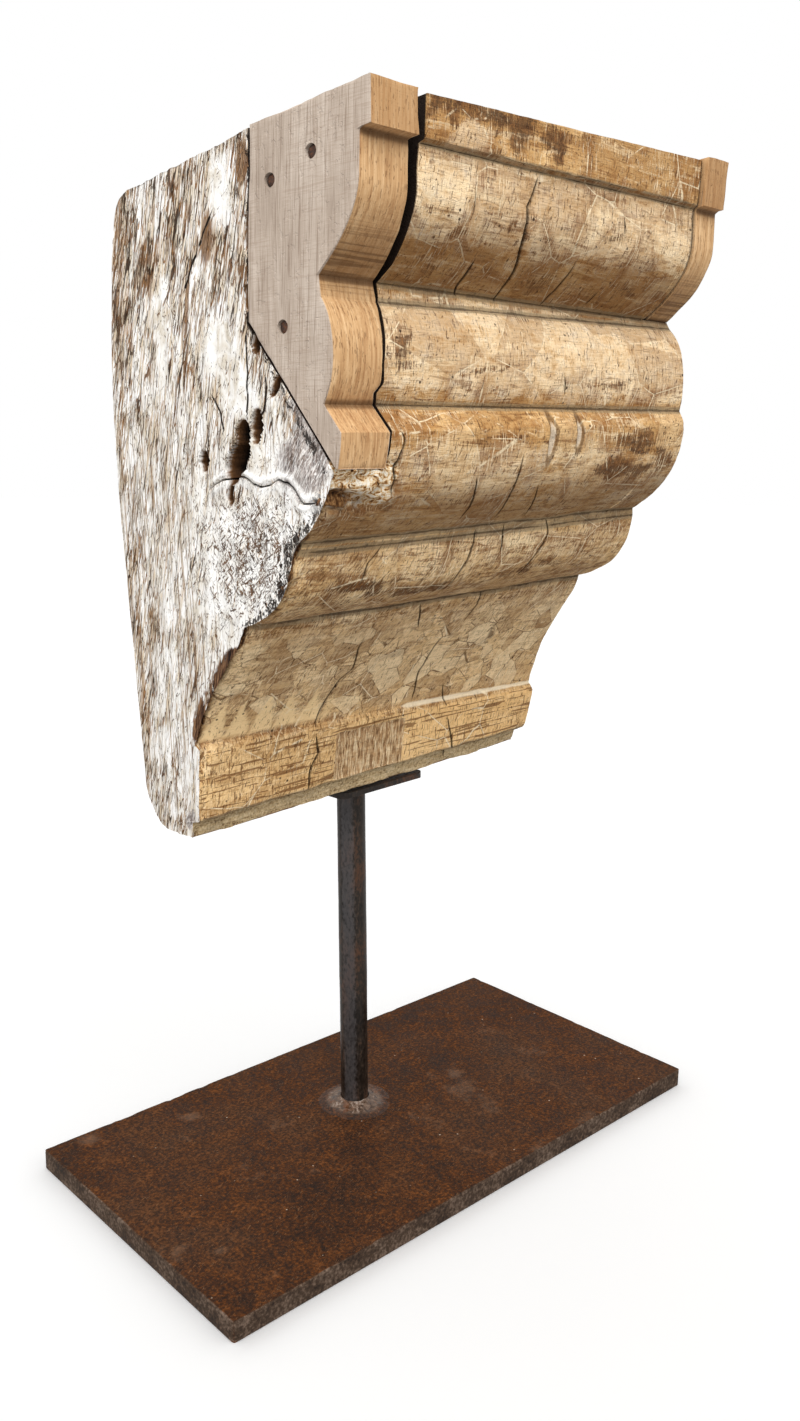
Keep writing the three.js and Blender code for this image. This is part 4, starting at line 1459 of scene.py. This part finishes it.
def painted_timber():
    """The carved front: honey timber with remains of cream paint, brown stains, checks and scratches."""
    wood = Surface("painted_timber")
    blotch = wood.noise((40, 40, 30), 3, 0.6, 0.5)
    patchy = wood.noise((9, 9, 7), 4, 0.68, 0.4)
    hair = wood.noise((0.6, 7, 7), 2, 0.6, 0.5)
    sweep = wood.noise((12, 0.8, 0.8), 3, 0.62, 0.8)
    smear = wood.noise((13, 2.6, 2.2), 5, 0.7, 0.9)
    speck = wood.noise((1.2, 1.2, 1.2), 2, 0.6, 0.4)
    lower = wood.mark("lower")
    fascia = wood.mark("fascia")
    paint = wood.mark("paint")
    flaked = wood.mark("flaked")
    furrow = wood.mark("furrow")
    dent = wood.mark("dent")

    # Timber, and what is left of the paint
    wood.colour = wood.ramp([(hair, 0.3), (patchy, 0.4), (smear, 0.3)], (0.4, (142, 96, 50)),
                            (0.47, (190, 145, 90)), (0.54, (216, 176, 121)), (0.62, (240, 206, 156)))
    cream = wood.ramp([(patchy, 0.4), (smear, 0.3), (hair, 0.3)], (0.4, (196, 156, 108)),
                      (0.47, (232, 200, 156)), (0.54, (246, 221, 183)), (0.62, (250, 235, 208)))
    painted = wood.step([(paint, 0.7), (blotch, 0.4), (patchy, 0.4), (smear, 0.4), (hair, 0.4)], 1.02, 1.24)
    wood.coat(cream, painted)
    # Paler towards the bottom: partly the paint's own colour, partly painted light where less light falls
    wood.coat((246, 210, 154), lower, 0.4)
    quiet = wood.step(wood.maths("MAXIMUM", fascia, paint), 0.5, 1.0, 1.0, 0.35)

    # Tide marks, bands, smears and brush lines
    tint = wood.cells((30, 30, 24), "TINT")
    wood.coat((156, 112, 66), wood.step(tint, 0.52, 0.68, 0.0, 0.4))
    wood.coat((246, 220, 176), wood.step(tint, 0.4, 0.25, 0.0, 0.25))
    plates = wood.cells((30, 30, 24), "DISTANCE_TO_EDGE")
    tide = wood.step([(plates, 1.0), (patchy, -0.3)], 0.0, -0.12)
    wood.coat((138, 90, 46), wood.times(tide, wood.step(blotch, 0.44, 0.56), quiet), 0.65)
    band = wood.total([(wood.noise((36, 6, 4.6), 5, 0.68, 1.0), 1.0), (hair, 0.3)])
    wood.coat((246, 220, 178), wood.step(band, 0.6, 0.5, 0.0, 0.5))
    wood.coat((126, 82, 42), wood.times(wood.step([(band, 1.0), (lower, 0.02)], 0.7, 0.8), quiet), 0.7)
    smeared = wood.step([(smear, 1.0), (hair, 0.35), (lower, 0.05)], 0.74, 0.84)
    smear_tone = wood.ramp([(hair, 0.5), (speck, 0.5)], (0.4, (96, 60, 30)), (0.5, (134, 90, 48)),
                           (0.6, (168, 122, 74)))
    wood.coat(smear_tone, wood.times(smeared, quiet), 0.85)
    wood.coat((118, 76, 38), wood.times(wood.step(hair, 0.56, 0.63), wood.step(patchy, 0.42, 0.56)), 0.5)
    wood.coat((246, 226, 190), wood.times(wood.step(hair, 0.43, 0.36), wood.step(blotch, 0.44, 0.56)), 0.6)
    wood.coat((104, 66, 32), wood.times(wood.step(sweep, 0.57, 0.63), wood.step(patchy, 0.42, 0.55)), 0.5)
    stained = wood.step([(wood.mark("stain"), 0.5), (patchy, 0.6), (hair, 0.8), (smear, 0.6)], 1.28, 1.46)
    brown = wood.ramp([(patchy, 0.4), (speck, 0.3), (hair, 0.3)], (0.4, (44, 27, 17)), (0.5, (88, 56, 31)),
                      (0.6, (144, 98, 55)))
    wood.coat(brown, stained, 0.9)

    # Hatching and flakes low on the front, and the ruled lines of the fascia
    hatch = wood.noise((0.7, 4.5, 4.5), 1, 0.5, 0.7, (0, 38, 0))
    hatched = wood.times(wood.step(hatch, 0.62, 0.65), lower, quiet)
    wood.coat((98, 64, 33), hatched, 0.6)
    wood.coat((246, 220, 174), wood.times(wood.step(hatch, 0.42, 0.37), lower), 0.35)
    wood.coat((230, 198, 148), flaked, 0.22)
    facet = wood.cells((13, 13, 10), "TINT")
    wood.coat((132, 92, 52), wood.times(wood.step(facet, 0.58, 0.7, 0.0, 0.34), flaked))
    wood.coat((250, 226, 184), wood.times(wood.step(facet, 0.38, 0.28, 0.0, 0.38), flaked))
    flake_edge = wood.step(wood.cells((13, 13, 10), "DISTANCE_TO_EDGE"), 0.01, 0.03, 1.0, 0.0)
    wood.coat((96, 64, 34), wood.times(flake_edge, flaked, wood.step(patchy, 0.45, 0.55)), 0.75)
    wood.coat((242, 210, 158), wood.mark("teeth"), 0.85)
    # The fascia made paler, more so to the right: partly its own colour, partly painted light where less
    # light falls
    wood.coat((252, 206, 140), fascia, 0.5)
    course = wood.step(wood.noise((40, 1.1, 1.1), 1, 0.5, 0.2), 0.585, 0.615)
    upright = wood.step(wood.noise((0.7, 5, 5), 1, 0.5, 0.2), 0.63, 0.66)
    grid = wood.times(wood.maths("MAXIMUM", course, upright), wood.step(fascia, 0.2, 0.5))
    wood.coat((112, 70, 34), grid, 0.75)

    # Scratches, nicks and worm holes
    scratch = wood.step(plates, 0.004, 0.012, 1.0, 0.0)
    scratch = wood.times(scratch, wood.step([(blotch, 0.5), (patchy, 0.5)], 0.47, 0.55))
    wood.coat((242, 222, 186), scratch, 0.8)
    dash = wood.step(wood.noise((0.8, 3.2, 3.2), 1, 0.5, 0.9, (0, 14, 0)), 0.66, 0.69)
    wood.coat((86, 54, 29), dash, 0.75)
    worm = wood.step(wood.cells((5.6, 5.6, 5.6), "F1"), 0.08, 0.13, 1.0, 0.0)
    worm = wood.times(worm, wood.step(patchy, 0.47, 0.56))
    wood.coat((50, 31, 18), worm, 0.88)

    # Splintered and broken places
    patch_wood = wood.ramp([(hair, 0.75), (patchy, 0.25)], (0.38, (104, 72, 44)), (0.5, (184, 146, 104)),
                           (0.6, (230, 206, 168)))
    wood.coat(patch_wood, wood.step([(wood.mark("patch"), 0.9), (hair, 0.4)], 0.5, 0.75), 0.9)
    curl = wood.noise((5.0, 5.0, 2.6), 2, 0.5, 2.2)
    chips = wood.ramp([(curl, 0.7), (hair, 0.3)], (0.36, (66, 40, 21)), (0.44, (176, 126, 74)),
                      (0.5, (234, 204, 158)), (0.6, (249, 240, 222)))
    wood.coat(chips, wood.step([(wood.mark("splinter"), 0.9), (patchy, 0.3)], 0.4, 0.8))
    torn_wood = wood.ramp([(hair, 0.6), (speck, 0.4)], (0.38, (36, 24, 16)), (0.5, (94, 60, 33)),
                          (0.64, (186, 142, 92)))
    wood.coat(torn_wood, wood.step([(wood.mark("broken"), 0.9), (hair, 0.35)], 0.45, 0.8))

    # Painted shade underneath, in the dents, joints and checks; furrows with a painted shadow line; the
    # reveal and the ledge
    # Painted shade: downward-facing places above the lower band are darkened, as if in shadow
    underside_shade = wood.step([(wood.mark("under"), 0.8), (patchy, 0.5), (sweep, 0.3), (lower, -0.5)], 0.5, 1.1)
    wood.coat((96, 60, 26), underside_shade, 0.52)
    # A greyer, darker tint in the furrows
    wood.coat((140, 122, 94), wood.step([(furrow, 0.9), (patchy, 0.3)], 0.55, 0.8), 0.65)
    # A painted shadow line along the deepest middle of each furrow
    groove_shadow_line = wood.step([(furrow, 1.0), (patchy, 0.3)], 1.02, 1.12)
    wood.coat((58, 42, 28), groove_shadow_line, 0.7)
    reveal = wood.ramp([(smear, 0.5), (speck, 0.5)], (0.38, (96, 76, 50)), (0.46, (178, 154, 114)),
                       (0.6, (218, 198, 160)))
    wood.coat(reveal, wood.mark("reveal"), 0.8)
    wood.coat((248, 232, 202), wood.step([(wood.mark("ledge"), 0.9), (patchy, 0.2)], 0.5, 0.8), 0.8)
    # Painted shade in the arris dents: grey in the hollow, with a darker brown rim round it
    wood.coat((204, 192, 174), wood.step(dent, 0.4, 0.6), 0.7)
    wood.coat((82, 56, 34), wood.times(wood.step(dent, 0.08, 0.25), wood.step(dent, 0.55, 0.4)), 0.65)
    # Painted shade: the hidden recess walls and the right board's joint are made near black
    wood.coat((30, 20, 13), wood.mark("painted_dark_recess"))
    # Painted shade: the insides of the open checks are made near black
    wood.coat((20, 12, 7), wood.step(wood.mark("open_check"), 0.1, 0.7))

    height = [(hair, 0.45), (patchy, 0.4), (smear, 0.4), (sweep, 0.4), (curl, 0.2), (tint, 0.15),
              (dash, -0.3), (worm, -0.3), (grid, -0.25), (hatched, -0.12), (groove_shadow_line, -0.2), (facet, 0.1)]
    return wood.finish(wood.step(patchy, 0.3, 0.7, 0.72, 0.92), height, 0.9, specular=0.15)


def limewashed_timber():
    """The ends: worn limewash over vertical grain, curly and weathered where the left end is marked so."""
    wood = Surface("limewashed_timber")
    grain = wood.noise((1.0, 1.0, 20), 2, 0.5, 1.0, (13, 0, 0))
    vein = wood.noise((1.1, 1.1, 26), 2, 0.6, 0.8, (14, 0, 0))
    gouge = wood.noise((1.7, 1.7, 17), 1, 0.5, 1.2, (17, 0, 0))
    broad = wood.noise((13, 13, 26), 3, 0.6, 0.7, (14, 0, 0))
    patchy = wood.noise((5.0, 5.0, 8), 4, 0.66, 0.6)
    fleck = wood.noise((0.8, 0.8, 5.5), 1, 0.5, 1.0, (18, 0, 0))
    curly = wood.noise((2.2, 2.2, 3.4), 2, 0.5, 2.4)
    swirl = wood.mark("swirl")
    upper = wood.mark("upper")
    bare = wood.mark("bare")
    hollow = wood.mark("hollow")
    thin = wood.total([(broad, 0.5), (wood.mark("chalky"), -0.26), (upper, 0.05), (bare, 0.1)])

    # Limewash, worn through along the grain
    wood.colour = wood.ramp([(patchy, 0.6), (broad, 0.4)], (0.4, (245, 243, 240)), (0.5, (231, 227, 220)),
                            (0.6, (208, 198, 182)))
    wood.coat((242, 239, 234), swirl, 0.6)
    tan = wood.step([(vein, 1.0), (thin, 0.7), (swirl, -0.1)], 0.71, 0.79)
    wood.coat(wood.ramp(patchy, (0.38, (172, 138, 100)), (0.6, (212, 190, 158))), tan, 0.7)
    stroke_tone = wood.ramp([(vein, 0.4), (patchy, 0.6)], (0.42, (164, 122, 78)), (0.5, (112, 76, 46)),
                            (0.57, (54, 36, 23)))
    streak = wood.step([(grain, 1.0), (thin, 0.6), (swirl, -0.12)], 0.772, 0.797)
    wood.coat(stroke_tone, streak, 0.85)
    long_grain = wood.noise((0.75, 0.75, 60), 2, 0.6, 0.3, (-2, 0, 0))
    ruled = wood.step([(long_grain, 1.0), (thin, 0.4), (upper, -0.12), (swirl, -0.12)], 0.655, 0.7)
    wood.coat(wood.ramp(patchy, (0.42, (182, 154, 122)), (0.56, (124, 92, 64))), ruled, 0.75)
    gouged = wood.step([(gouge, 1.0), (thin, 0.8), (swirl, -0.1), (upper, 0.03)], 0.88, 0.9)
    wood.coat(wood.ramp(patchy, (0.44, (104, 70, 42)), (0.54, (46, 31, 21))), gouged, 0.92)
    bare_wood = wood.ramp([(grain, 0.6), (patchy, 0.4)], (0.38, (84, 57, 38)), (0.5, (138, 104, 74)),
                          (0.62, (186, 156, 124)))
    wood.coat(bare_wood, wood.step([(bare, 0.8), (patchy, 0.4), (grain, 0.6)], 0.98, 1.18), 0.9)
    dash = wood.step([(fleck, 1.0), (thin, 0.6), (swirl, -0.04), (upper, 0.01)], 0.8, 0.82)
    wood.coat(stroke_tone, dash, 0.92)

    # Short cuts both ways and curls, on the swirling part
    leaning = wood.maths("MAXIMUM", wood.noise((0.9, 0.9, 5.0), 1, 0.5, 1.4, (-38, 0, 0)),
                         wood.noise((0.9, 0.9, 5.0), 1, 0.5, 1.4, (52, 0, 0)))
    chopped = wood.step([(leaning, 1.0), (swirl, 0.15), (patchy, 0.3)], 0.875, 0.895)
    wood.coat(wood.ramp(patchy, (0.4, (50, 33, 22)), (0.6, (98, 66, 41))), chopped, 0.9)
    curl = wood.step([(curly, 1.0), (swirl, 0.165), (patchy, 0.3)], 0.86, 0.88)
    wood.coat(wood.ramp(patchy, (0.4, (60, 40, 26)), (0.6, (112, 78, 49))), curl, 0.9)

    # Weathered grey wood, chips with painted gap shade, breaks, cracks, knot holes and the split, painted
    # darker inside
    grey = wood.step([(wood.mark("weather"), 0.7), (patchy, 0.9), (curly, 0.3)], 0.98, 1.2)
    grey_wood = wood.ramp([(fleck, 0.4), (patchy, 0.3), (curly, 0.3)], (0.41, (62, 51, 49)),
                          (0.48, (128, 113, 108)), (0.56, (196, 188, 183)))
    hatch = wood.step(wood.noise((0.7, 0.7, 6), 1, 0.5, 0.4, (38, 0, 0)), 0.56, 0.62)
    grey_wood = wood.blend(wood.times(hatch, 0.8), grey_wood, (234, 230, 226))
    wood.coat(grey_wood, grey, 0.85)
    # Painted gap shade: near-black chips along the lower arris and the board joint
    chips_and_gap_shade = wood.step([(wood.mark("chips_and_gap_shade"), 0.45), (curly, 0.7), (patchy, 0.6)], 1.02, 1.1)
    wood.coat((34, 26, 22), chips_and_gap_shade, 0.92)
    torn_wood = wood.ramp([(grain, 0.6), (fleck, 0.4)], (0.38, (26, 18, 14)), (0.5, (80, 53, 36)),
                          (0.62, (150, 112, 80)))
    wood.coat(torn_wood, wood.step([(wood.mark("broken"), 0.9), (patchy, 0.3), (fleck, 0.6)], 0.75, 0.95))
    wood.coat((250, 248, 244), wood.mark("lip"), 0.8)
    beside = wood.maths("ABSOLUTE", wood.maths("SUBTRACT", wood.mark("crack_side"), 0.5), 0.0)
    crack = wood.step(beside, 0.03, 0.07, 1.0, 0.0)
    crack = wood.times(crack, wood.mark("crack_near"), wood.step(patchy, 0.36, 0.46))
    wood.coat((32, 23, 17), crack)
    # Knot holes: bare brown wood at the rim, going to painted shade, near black, deeper in
    cavity = wood.ramp(hollow, (0.0, (150, 108, 66)), (0.3, (80, 52, 29)), (0.6, (12, 9, 6)))
    wood.coat(cavity, wood.step(hollow, 0.03, 0.25))
    # Painted shade: the insides of the open checks and the split are made near black
    wood.coat((22, 15, 11), wood.step(wood.mark("open_check"), 0.15, 0.7))

    height = [(streak, -0.35), (ruled, -0.2), (gouged, -0.4), (vein, 0.4), (patchy, 0.6), (dash, -0.4),
              (curl, -0.3), (chopped, -0.4), (crack, -0.3)]
    return wood.finish(wood.step(patchy, 0.3, 0.7, 0.78, 0.95), height, 0.9, specular=0.15)


def bare_timber():
    """The back, top and underside: brown, dry timber with long vertical grain, shakes and some limewash."""
    wood = Surface("bare_timber")
    grain = wood.noise((0.9, 0.9, 30), 4, 0.62, 0.6)
    ring = wood.noise((8, 8, 130), 3, 0.55, 0.6)
    patchy = wood.noise((12, 12, 26), 5, 0.66, 0.6)
    broad = wood.noise((60, 60, 80), 3, 0.6, 0.4)
    sawn = wood.noise((40, 40, 1.3), 2, 0.5, 0.8, (0, 4, 0))
    wood.colour = wood.ramp([(grain, 0.5), (ring, 0.25), (patchy, 0.25)], (0.38, (84, 60, 41)),
                            (0.47, (136, 106, 76)), (0.55, (170, 140, 106)), (0.64, (198, 172, 138)))
    wood.coat((96, 70, 48), wood.step(broad, 0.5, 0.64, 0.0, 0.5))
    cuts = wood.times(wood.step(sawn, 0.57, 0.63), wood.step(broad, 0.52, 0.44))
    wood.coat((92, 66, 44), cuts, 0.35)
    wood.coat((218, 209, 195), wood.step([(patchy, 0.8), (broad, 0.5), (grain, 0.8)], 1.12, 1.22), 0.75)
    stroke = wood.step([(wood.noise((0.8, 0.8, 9), 1, 0.5, 0.8, (4, 3, 0)), 1.0), (broad, 0.3)], 0.77, 0.81)
    wood.coat((62, 43, 29), stroke, 0.8)
    shake = wood.step(wood.noise((2.2, 2.2, 70), 1, 0.5, 0.6, (2, 1, 0)), 0.68, 0.7)
    wood.coat((34, 24, 17), shake, 0.9)
    height = [(grain, 0.6), (ring, 0.3), (cuts, -0.3), (stroke, -0.4), (shake, -0.8)]
    return wood.finish(wood.step(patchy, 0.3, 0.7, 0.76, 0.94), height, 0.8, specular=0.15)


def planed_timber(name, face_tones, edge_tones):
    """A newer board: quiet planed faces, and a fresh sawn and moulded front edge."""
    wood = Surface(name)
    grain = wood.noise((0.7, 0.7, 26), 4, 0.62, 0.7)
    ring = wood.noise((6, 6, 170), 3, 0.5, 0.6)
    pore = wood.step(wood.noise((0.6, 2.6, 3.2), 2, 0.5, 0.3), 0.61, 0.66)
    cloud = wood.noise((22, 22, 28), 4, 0.6)
    plane = wood.noise((18, 18, 0.8), 2, 0.5, 1.6)
    tone_places = (0.38, 0.5, 0.62)
    sawn = wood.mark("sawn")

    # The faces, with faint marks of the plane across them
    wood.colour = wood.ramp([(grain, 0.35), (ring, 0.25), (cloud, 0.4)], *zip(tone_places, face_tones))
    wood.coat((146, 124, 106), wood.times(wood.step(plane, 0.5, 0.6), wood.step(cloud, 0.42, 0.54)), 0.28)
    streak = wood.step(wood.noise((0.6, 0.6, 22), 2, 0.5, 0.5, (4, 0, 0)), 0.58, 0.64)
    wood.coat((122, 102, 86), streak, 0.5)
    face = wood.colour

    # The front edge, ribbed by the saw low on the ovolo
    end_grain = wood.noise((1.3, 30, 30), 3, 0.6, 0.4)
    wood.colour = wood.ramp([(grain, 0.2), (end_grain, 0.45), (cloud, 0.35)], *zip(tone_places, edge_tones))
    # Darker on the fillet at the top of the front edge
    wood.coat((152, 110, 68), wood.mark("top_band"), 0.5)
    wood.coat((118, 78, 44), pore, 0.5)
    ribbed = wood.times(sawn, wood.step(wood.noise((60, 1.4, 1.0), 2, 0.5, 0.5), 0.46, 0.58))
    wood.coat((134, 98, 60), sawn, 0.7)
    wood.coat((88, 58, 32), ribbed, 0.6)
    wood.coat((84, 56, 32), wood.step([(wood.mark("furrow"), 0.9), (cloud, 0.3)], 0.5, 1.0), 0.7)
    newly_cut = wood.step([(wood.mark("fresh"), 1.0), (cloud, 0.2)], 0.35, 0.75)
    wood.colour = wood.blend(newly_cut, face, wood.colour)
    height = [(grain, 0.5), (pore, -0.5), (plane, 0.25), (ribbed, -0.8)]
    return wood.finish(wood.step(cloud, 0.3, 0.7, 0.6, 0.82), height, 0.25, specular=0.2)


def rust_tones(steel):
    """Even brown rust with darker scale, grey worn places and fine pale scratches.

    Gives its mottling and its grit, and the parts of its height.
    """
    cloud = steel.noise((60, 60, 60), 4, 0.6, 0.4)
    mottle = steel.noise((13, 13, 13), 6, 0.68, 0.3)
    grit = steel.noise((1.5, 1.5, 1.5), 3, 0.6)
    steel.colour = steel.ramp([(mottle, 0.3), (grit, 0.5), (cloud, 0.2)], (0.38, (30, 16, 7)),
                              (0.47, (52, 28, 11)), (0.54, (75, 41, 14)), (0.62, (108, 62, 26)))
    scale = steel.step([(cloud, 0.8), (mottle, 0.3)], 0.52, 0.7)
    steel.coat(steel.ramp(grit, (0.38, (30, 20, 12)), (0.62, (66, 46, 31))), scale, 0.55)
    worn = steel.step([(mottle, 0.6), (steel.noise((34, 34, 34), 3, 0.5), 0.8)], 0.8, 0.96)
    steel.coat((112, 90, 74), worn, 0.35)
    scratch = steel.step(steel.noise((4.0, 1.0, 1.0), 2, 0.5, 2.4, (0, 0, 25)), 0.62, 0.68)
    steel.coat((128, 92, 62), scratch, 0.4)
    fleck = steel.step(steel.cells((8, 8, 8), "F1"), 0.04, 0.07, 1.0, 0.0)
    steel.coat((186, 166, 146), steel.times(fleck, steel.step(mottle, 0.48, 0.58)), 0.75)
    return mottle, grit, [(mottle, 0.4), (grit, 0.5), (scratch, 0.2)]


def rusted_plate():
    """Thick plate with an even brown rust, and darker, worn edges."""
    steel = Surface("rusted_plate")
    mottle, grit, height = rust_tones(steel)
    rubbed_and_sheen = steel.ramp([(grit, 0.5), (mottle, 0.5)], (0.38, (40, 31, 25)), (0.5, (70, 57, 46)),
                       (0.64, (118, 104, 92)))
    steel.coat(rubbed_and_sheen, steel.step([(steel.mark("edge"), 0.75), (mottle, 0.6)], 0.72, 1.0), 0.75)
    rough = steel.step([(mottle, 0.6), (grit, 0.4)], 0.38, 0.62, 0.6, 0.82)
    return steel.finish(rough, height, 0.2, specular=0.12)


def dark_steel():
    """Blackened bar and plate, with a brown bloom of rust, a dull sheen and a paler stripe painted on as a
    highlight.
    """
    steel = Surface("dark_steel")
    cloud = steel.noise((16, 16, 40), 4, 0.6, 0.3)
    grit = steel.noise((1.3, 1.3, 2.6), 3, 0.6)
    steel.colour = steel.ramp([(grit, 0.5), (cloud, 0.5)], (0.38, (28, 23, 19)), (0.5, (48, 39, 32)),
                              (0.64, (78, 64, 52)))
    steel.coat((88, 54, 33), steel.step([(cloud, 0.8), (grit, 0.4)], 0.6, 0.76), 0.75)
    # Painted highlight: a paler grey stripe down one side of the rod
    steel.coat((92, 90, 92), steel.step([(steel.mark("rubbed_and_sheen"), 0.6), (grit, 1.0)], 0.72, 1.16), 0.5)
    rough = steel.step([(cloud, 0.5), (grit, 0.5)], 0.38, 0.62, 0.28, 0.5)
    return steel.finish(rough, [(grit, 0.6), (cloud, 0.4)], 0.15, metallic=0.45)


def weld_steel():
    """A weld run with a grey-brown skin and bright ripples, rusting like the plate round its rim."""
    steel = Surface("weld_steel")
    _, grit, height = rust_tones(steel)
    rust = steel.colour
    ripple = steel.noise((4.5, 4.5, 4.5), 4, 0.6, 1.2)
    skirt = steel.mark("skirt")
    steel.colour = steel.ramp([(ripple, 0.7), (grit, 0.3)], (0.38, (44, 31, 23)), (0.48, (84, 64, 50)),
                              (0.56, (112, 90, 74)), (0.66, (158, 144, 134)))
    steel.coat((104, 60, 28), steel.step(steel.noise((11, 11, 11), 3, 0.6), 0.52, 0.6), 0.6)
    steel.coat(rust, steel.step([(skirt, 0.9), (ripple, 0.5)], 0.45, 0.95))
    rough = steel.step([(ripple, 1.0), (skirt, 0.2)], 0.38, 0.7, 0.26, 0.75)
    return steel.finish(rough, [(ripple, 0.6), (steel.total(height), 0.4)], 0.3, metallic=0.25)


def nail_iron():
    """Old iron: dark brown, with lighter rusty specks."""
    iron = Surface("nail_iron")
    grit = iron.noise((0.7, 0.7, 0.7), 3, 0.6)
    cloud = iron.noise((3, 3, 3), 3, 0.6)
    iron.colour = iron.ramp([(grit, 0.5), (cloud, 0.5)], (0.36, (38, 26, 21)), (0.5, (72, 48, 36)),
                            (0.66, (122, 76, 46)))
    return iron.finish(iron.step(grit, 0.35, 0.65, 0.55, 0.85), grit, 0.15, metallic=0.3)


def floor_paint():
    """A pale, matt studio floor."""
    floor = Surface("floor_paint")
    cloud = floor.noise((900, 900, 900), 2, 0.5)
    floor.colour = floor.ramp(cloud, (0.3, (246, 246, 245)), (0.7, (250, 250, 250)))
    floor.shader.inputs["Emission Color"].default_value = (1.0, 1.0, 1.0, 1.0)
    floor.shader.inputs["Emission Strength"].default_value = 0.16
    return floor.finish(floor.step(cloud, 0.3, 0.7, 0.9, 0.96), cloud, 0.01, specular=0.1)


# The pieces

block, block_box, block_marks = build_block()
wear_block(block, block_box.regions, block_marks)
dress(block, painted_timber(), "painted_timber", "corbel_block")
block.data.materials.append(limewashed_timber())
block.data.materials.append(bare_timber())
side_materials = {"front": 0, "left": 1, "right": 1, "back": 2, "top": 2, "bottom": 2}
face_materials = [side_materials[side] for side in block_box.face_sides]
block.data.polygons.foreach_set("material_index", face_materials)

left_board, left_region = build_left_board()
wear_board(left_board, left_region, 81)
for place in nail_places.values():
    bore(left_board, place, nail_hole_radius, nail_hole_depth)
greige = ((156, 139, 124), (178, 162, 147), (198, 184, 170))
fresh = ((162, 118, 76), (198, 157, 111), (224, 188, 143))
dress(left_board, planed_timber("planed_timber", greige, fresh), "planed_timber", "left_end_board")

right_board, right_region = build_right_board()
wear_board(right_board, right_region, 91)
dress(right_board, planed_timber("fresh_timber", fresh, fresh), "fresh_timber", "right_end_board")

iron = nail_iron()
for number, (name, place) in enumerate(nail_places.items(), start=1):
    dress(build_nail(name, place), iron, "nail_iron", f"nail_{number}")

dress(build_plate(), rusted_plate(), "rusted_plate", "base_plate")
steel = dark_steel()
dress(build_rod(), steel, "dark_steel", "rod")
dress(build_seat(), steel, "dark_steel", "seat_plate")
dress(build_weld(), weld_steel(), "weld_steel", "weld_bead")

# Floor, light and camera

floor_half = 9000.0
floor_corners = [(x * floor_half, y * floor_half, 0.0) for x, y in ((-1, -1), (1, -1), (1, 1), (-1, 1))]
floor = new_object("floor", floor_corners, [(0, 1, 2, 3)])
floor.data.materials.append(floor_paint())
floor.visible_diffuse = False
floor.visible_glossy = False
away_from_lights = bpy.data.collections.new("away_from_lights")
away_from_lights.objects.link(floor)
for member in away_from_lights.collection_objects:
    member.light_linking.link_state = "EXCLUDE"


def soft_light(name, place, target, size, power):
    """A large square studio light, turned towards a point."""
    data = bpy.data.lights.new(name, "AREA")
    data.size = size
    data.energy = power
    light = bpy.data.objects.new(name, data)
    bpy.context.scene.collection.objects.link(light)
    light.location = place
    light.rotation_euler = (Vector(target) - Vector(place)).to_track_quat("-Z", "Y").to_euler()
    light.light_linking.receiver_collection = away_from_lights


middle_of_part = (0.0, 0.0, 0.28)
soft_light("front_light", (-0.75, -1.0, 1.4), middle_of_part, 1.1, 23.0)
soft_light("left_light", (-1.6, 0.15, 1.0), middle_of_part, 1.2, 4.0)


def studio_world():
    """Soft light from all round, stronger from above, in front of a white background."""
    world = bpy.data.worlds.new("studio")
    world.use_nodes = True
    nodes = world.node_tree.nodes
    links = world.node_tree.links
    place = nodes.new("ShaderNodeTexCoord")
    parts = nodes.new("ShaderNodeSeparateXYZ")
    links.new(place.outputs["Generated"], parts.inputs["Vector"])
    level = nodes.new("ShaderNodeMapRange")
    level.interpolation_type = "SMOOTHSTEP"
    level.inputs["From Min"].default_value = -0.25
    level.inputs["From Max"].default_value = 0.9
    level.inputs["To Min"].default_value = 0.60
    level.inputs["To Max"].default_value = 1.06
    links.new(parts.outputs["Z"], level.inputs["Value"])
    seen = nodes.new("ShaderNodeLightPath")
    strength = nodes.new("ShaderNodeMix")
    links.new(seen.outputs["Is Camera Ray"], strength.inputs["Factor"])
    links.new(level.outputs["Result"], strength.inputs["A"])
    strength.inputs["B"].default_value = 1.0
    background = nodes["Background"]
    background.inputs["Color"].default_value = (1.0, 1.0, 1.0, 1.0)
    links.new(strength.outputs["Result"], background.inputs["Strength"])
    bpy.context.scene.world = world


studio_world()
bpy.context.scene.view_settings.view_transform = "Standard"

camera_place = Vector((-404.144, -445.365, 361.394)) * MM
camera_yaw = math.radians(47.2115)
camera_pitch = math.radians(11.917)
camera_roll = math.radians(0.7796)
photo_height = 1421
focal_pixels = 1192.394
sensor_long_side = 36.0


def place_camera():
    """A camera where the photographer stood."""
    look = Vector((
        math.cos(camera_yaw) * math.cos(camera_pitch),
        math.sin(camera_yaw) * math.cos(camera_pitch),
        -math.sin(camera_pitch),
    ))
    level = Vector((math.sin(camera_yaw), -math.cos(camera_yaw), 0))
    upright = level.cross(look)
    right = level * math.cos(camera_roll) + upright * math.sin(camera_roll)
    up = upright * math.cos(camera_roll) - level * math.sin(camera_roll)
    data = bpy.data.cameras.new("camera")
    data.sensor_width = sensor_long_side
    data.lens = sensor_long_side * focal_pixels / photo_height
    data.clip_start = 0.01
    camera = bpy.data.objects.new("camera", data)
    bpy.context.scene.collection.objects.link(camera)
    turn = Matrix((right, up, -look)).transposed().to_4x4()
    camera.matrix_world = Matrix.Translation(camera_place) @ turn
    bpy.context.scene.camera = camera


place_camera()
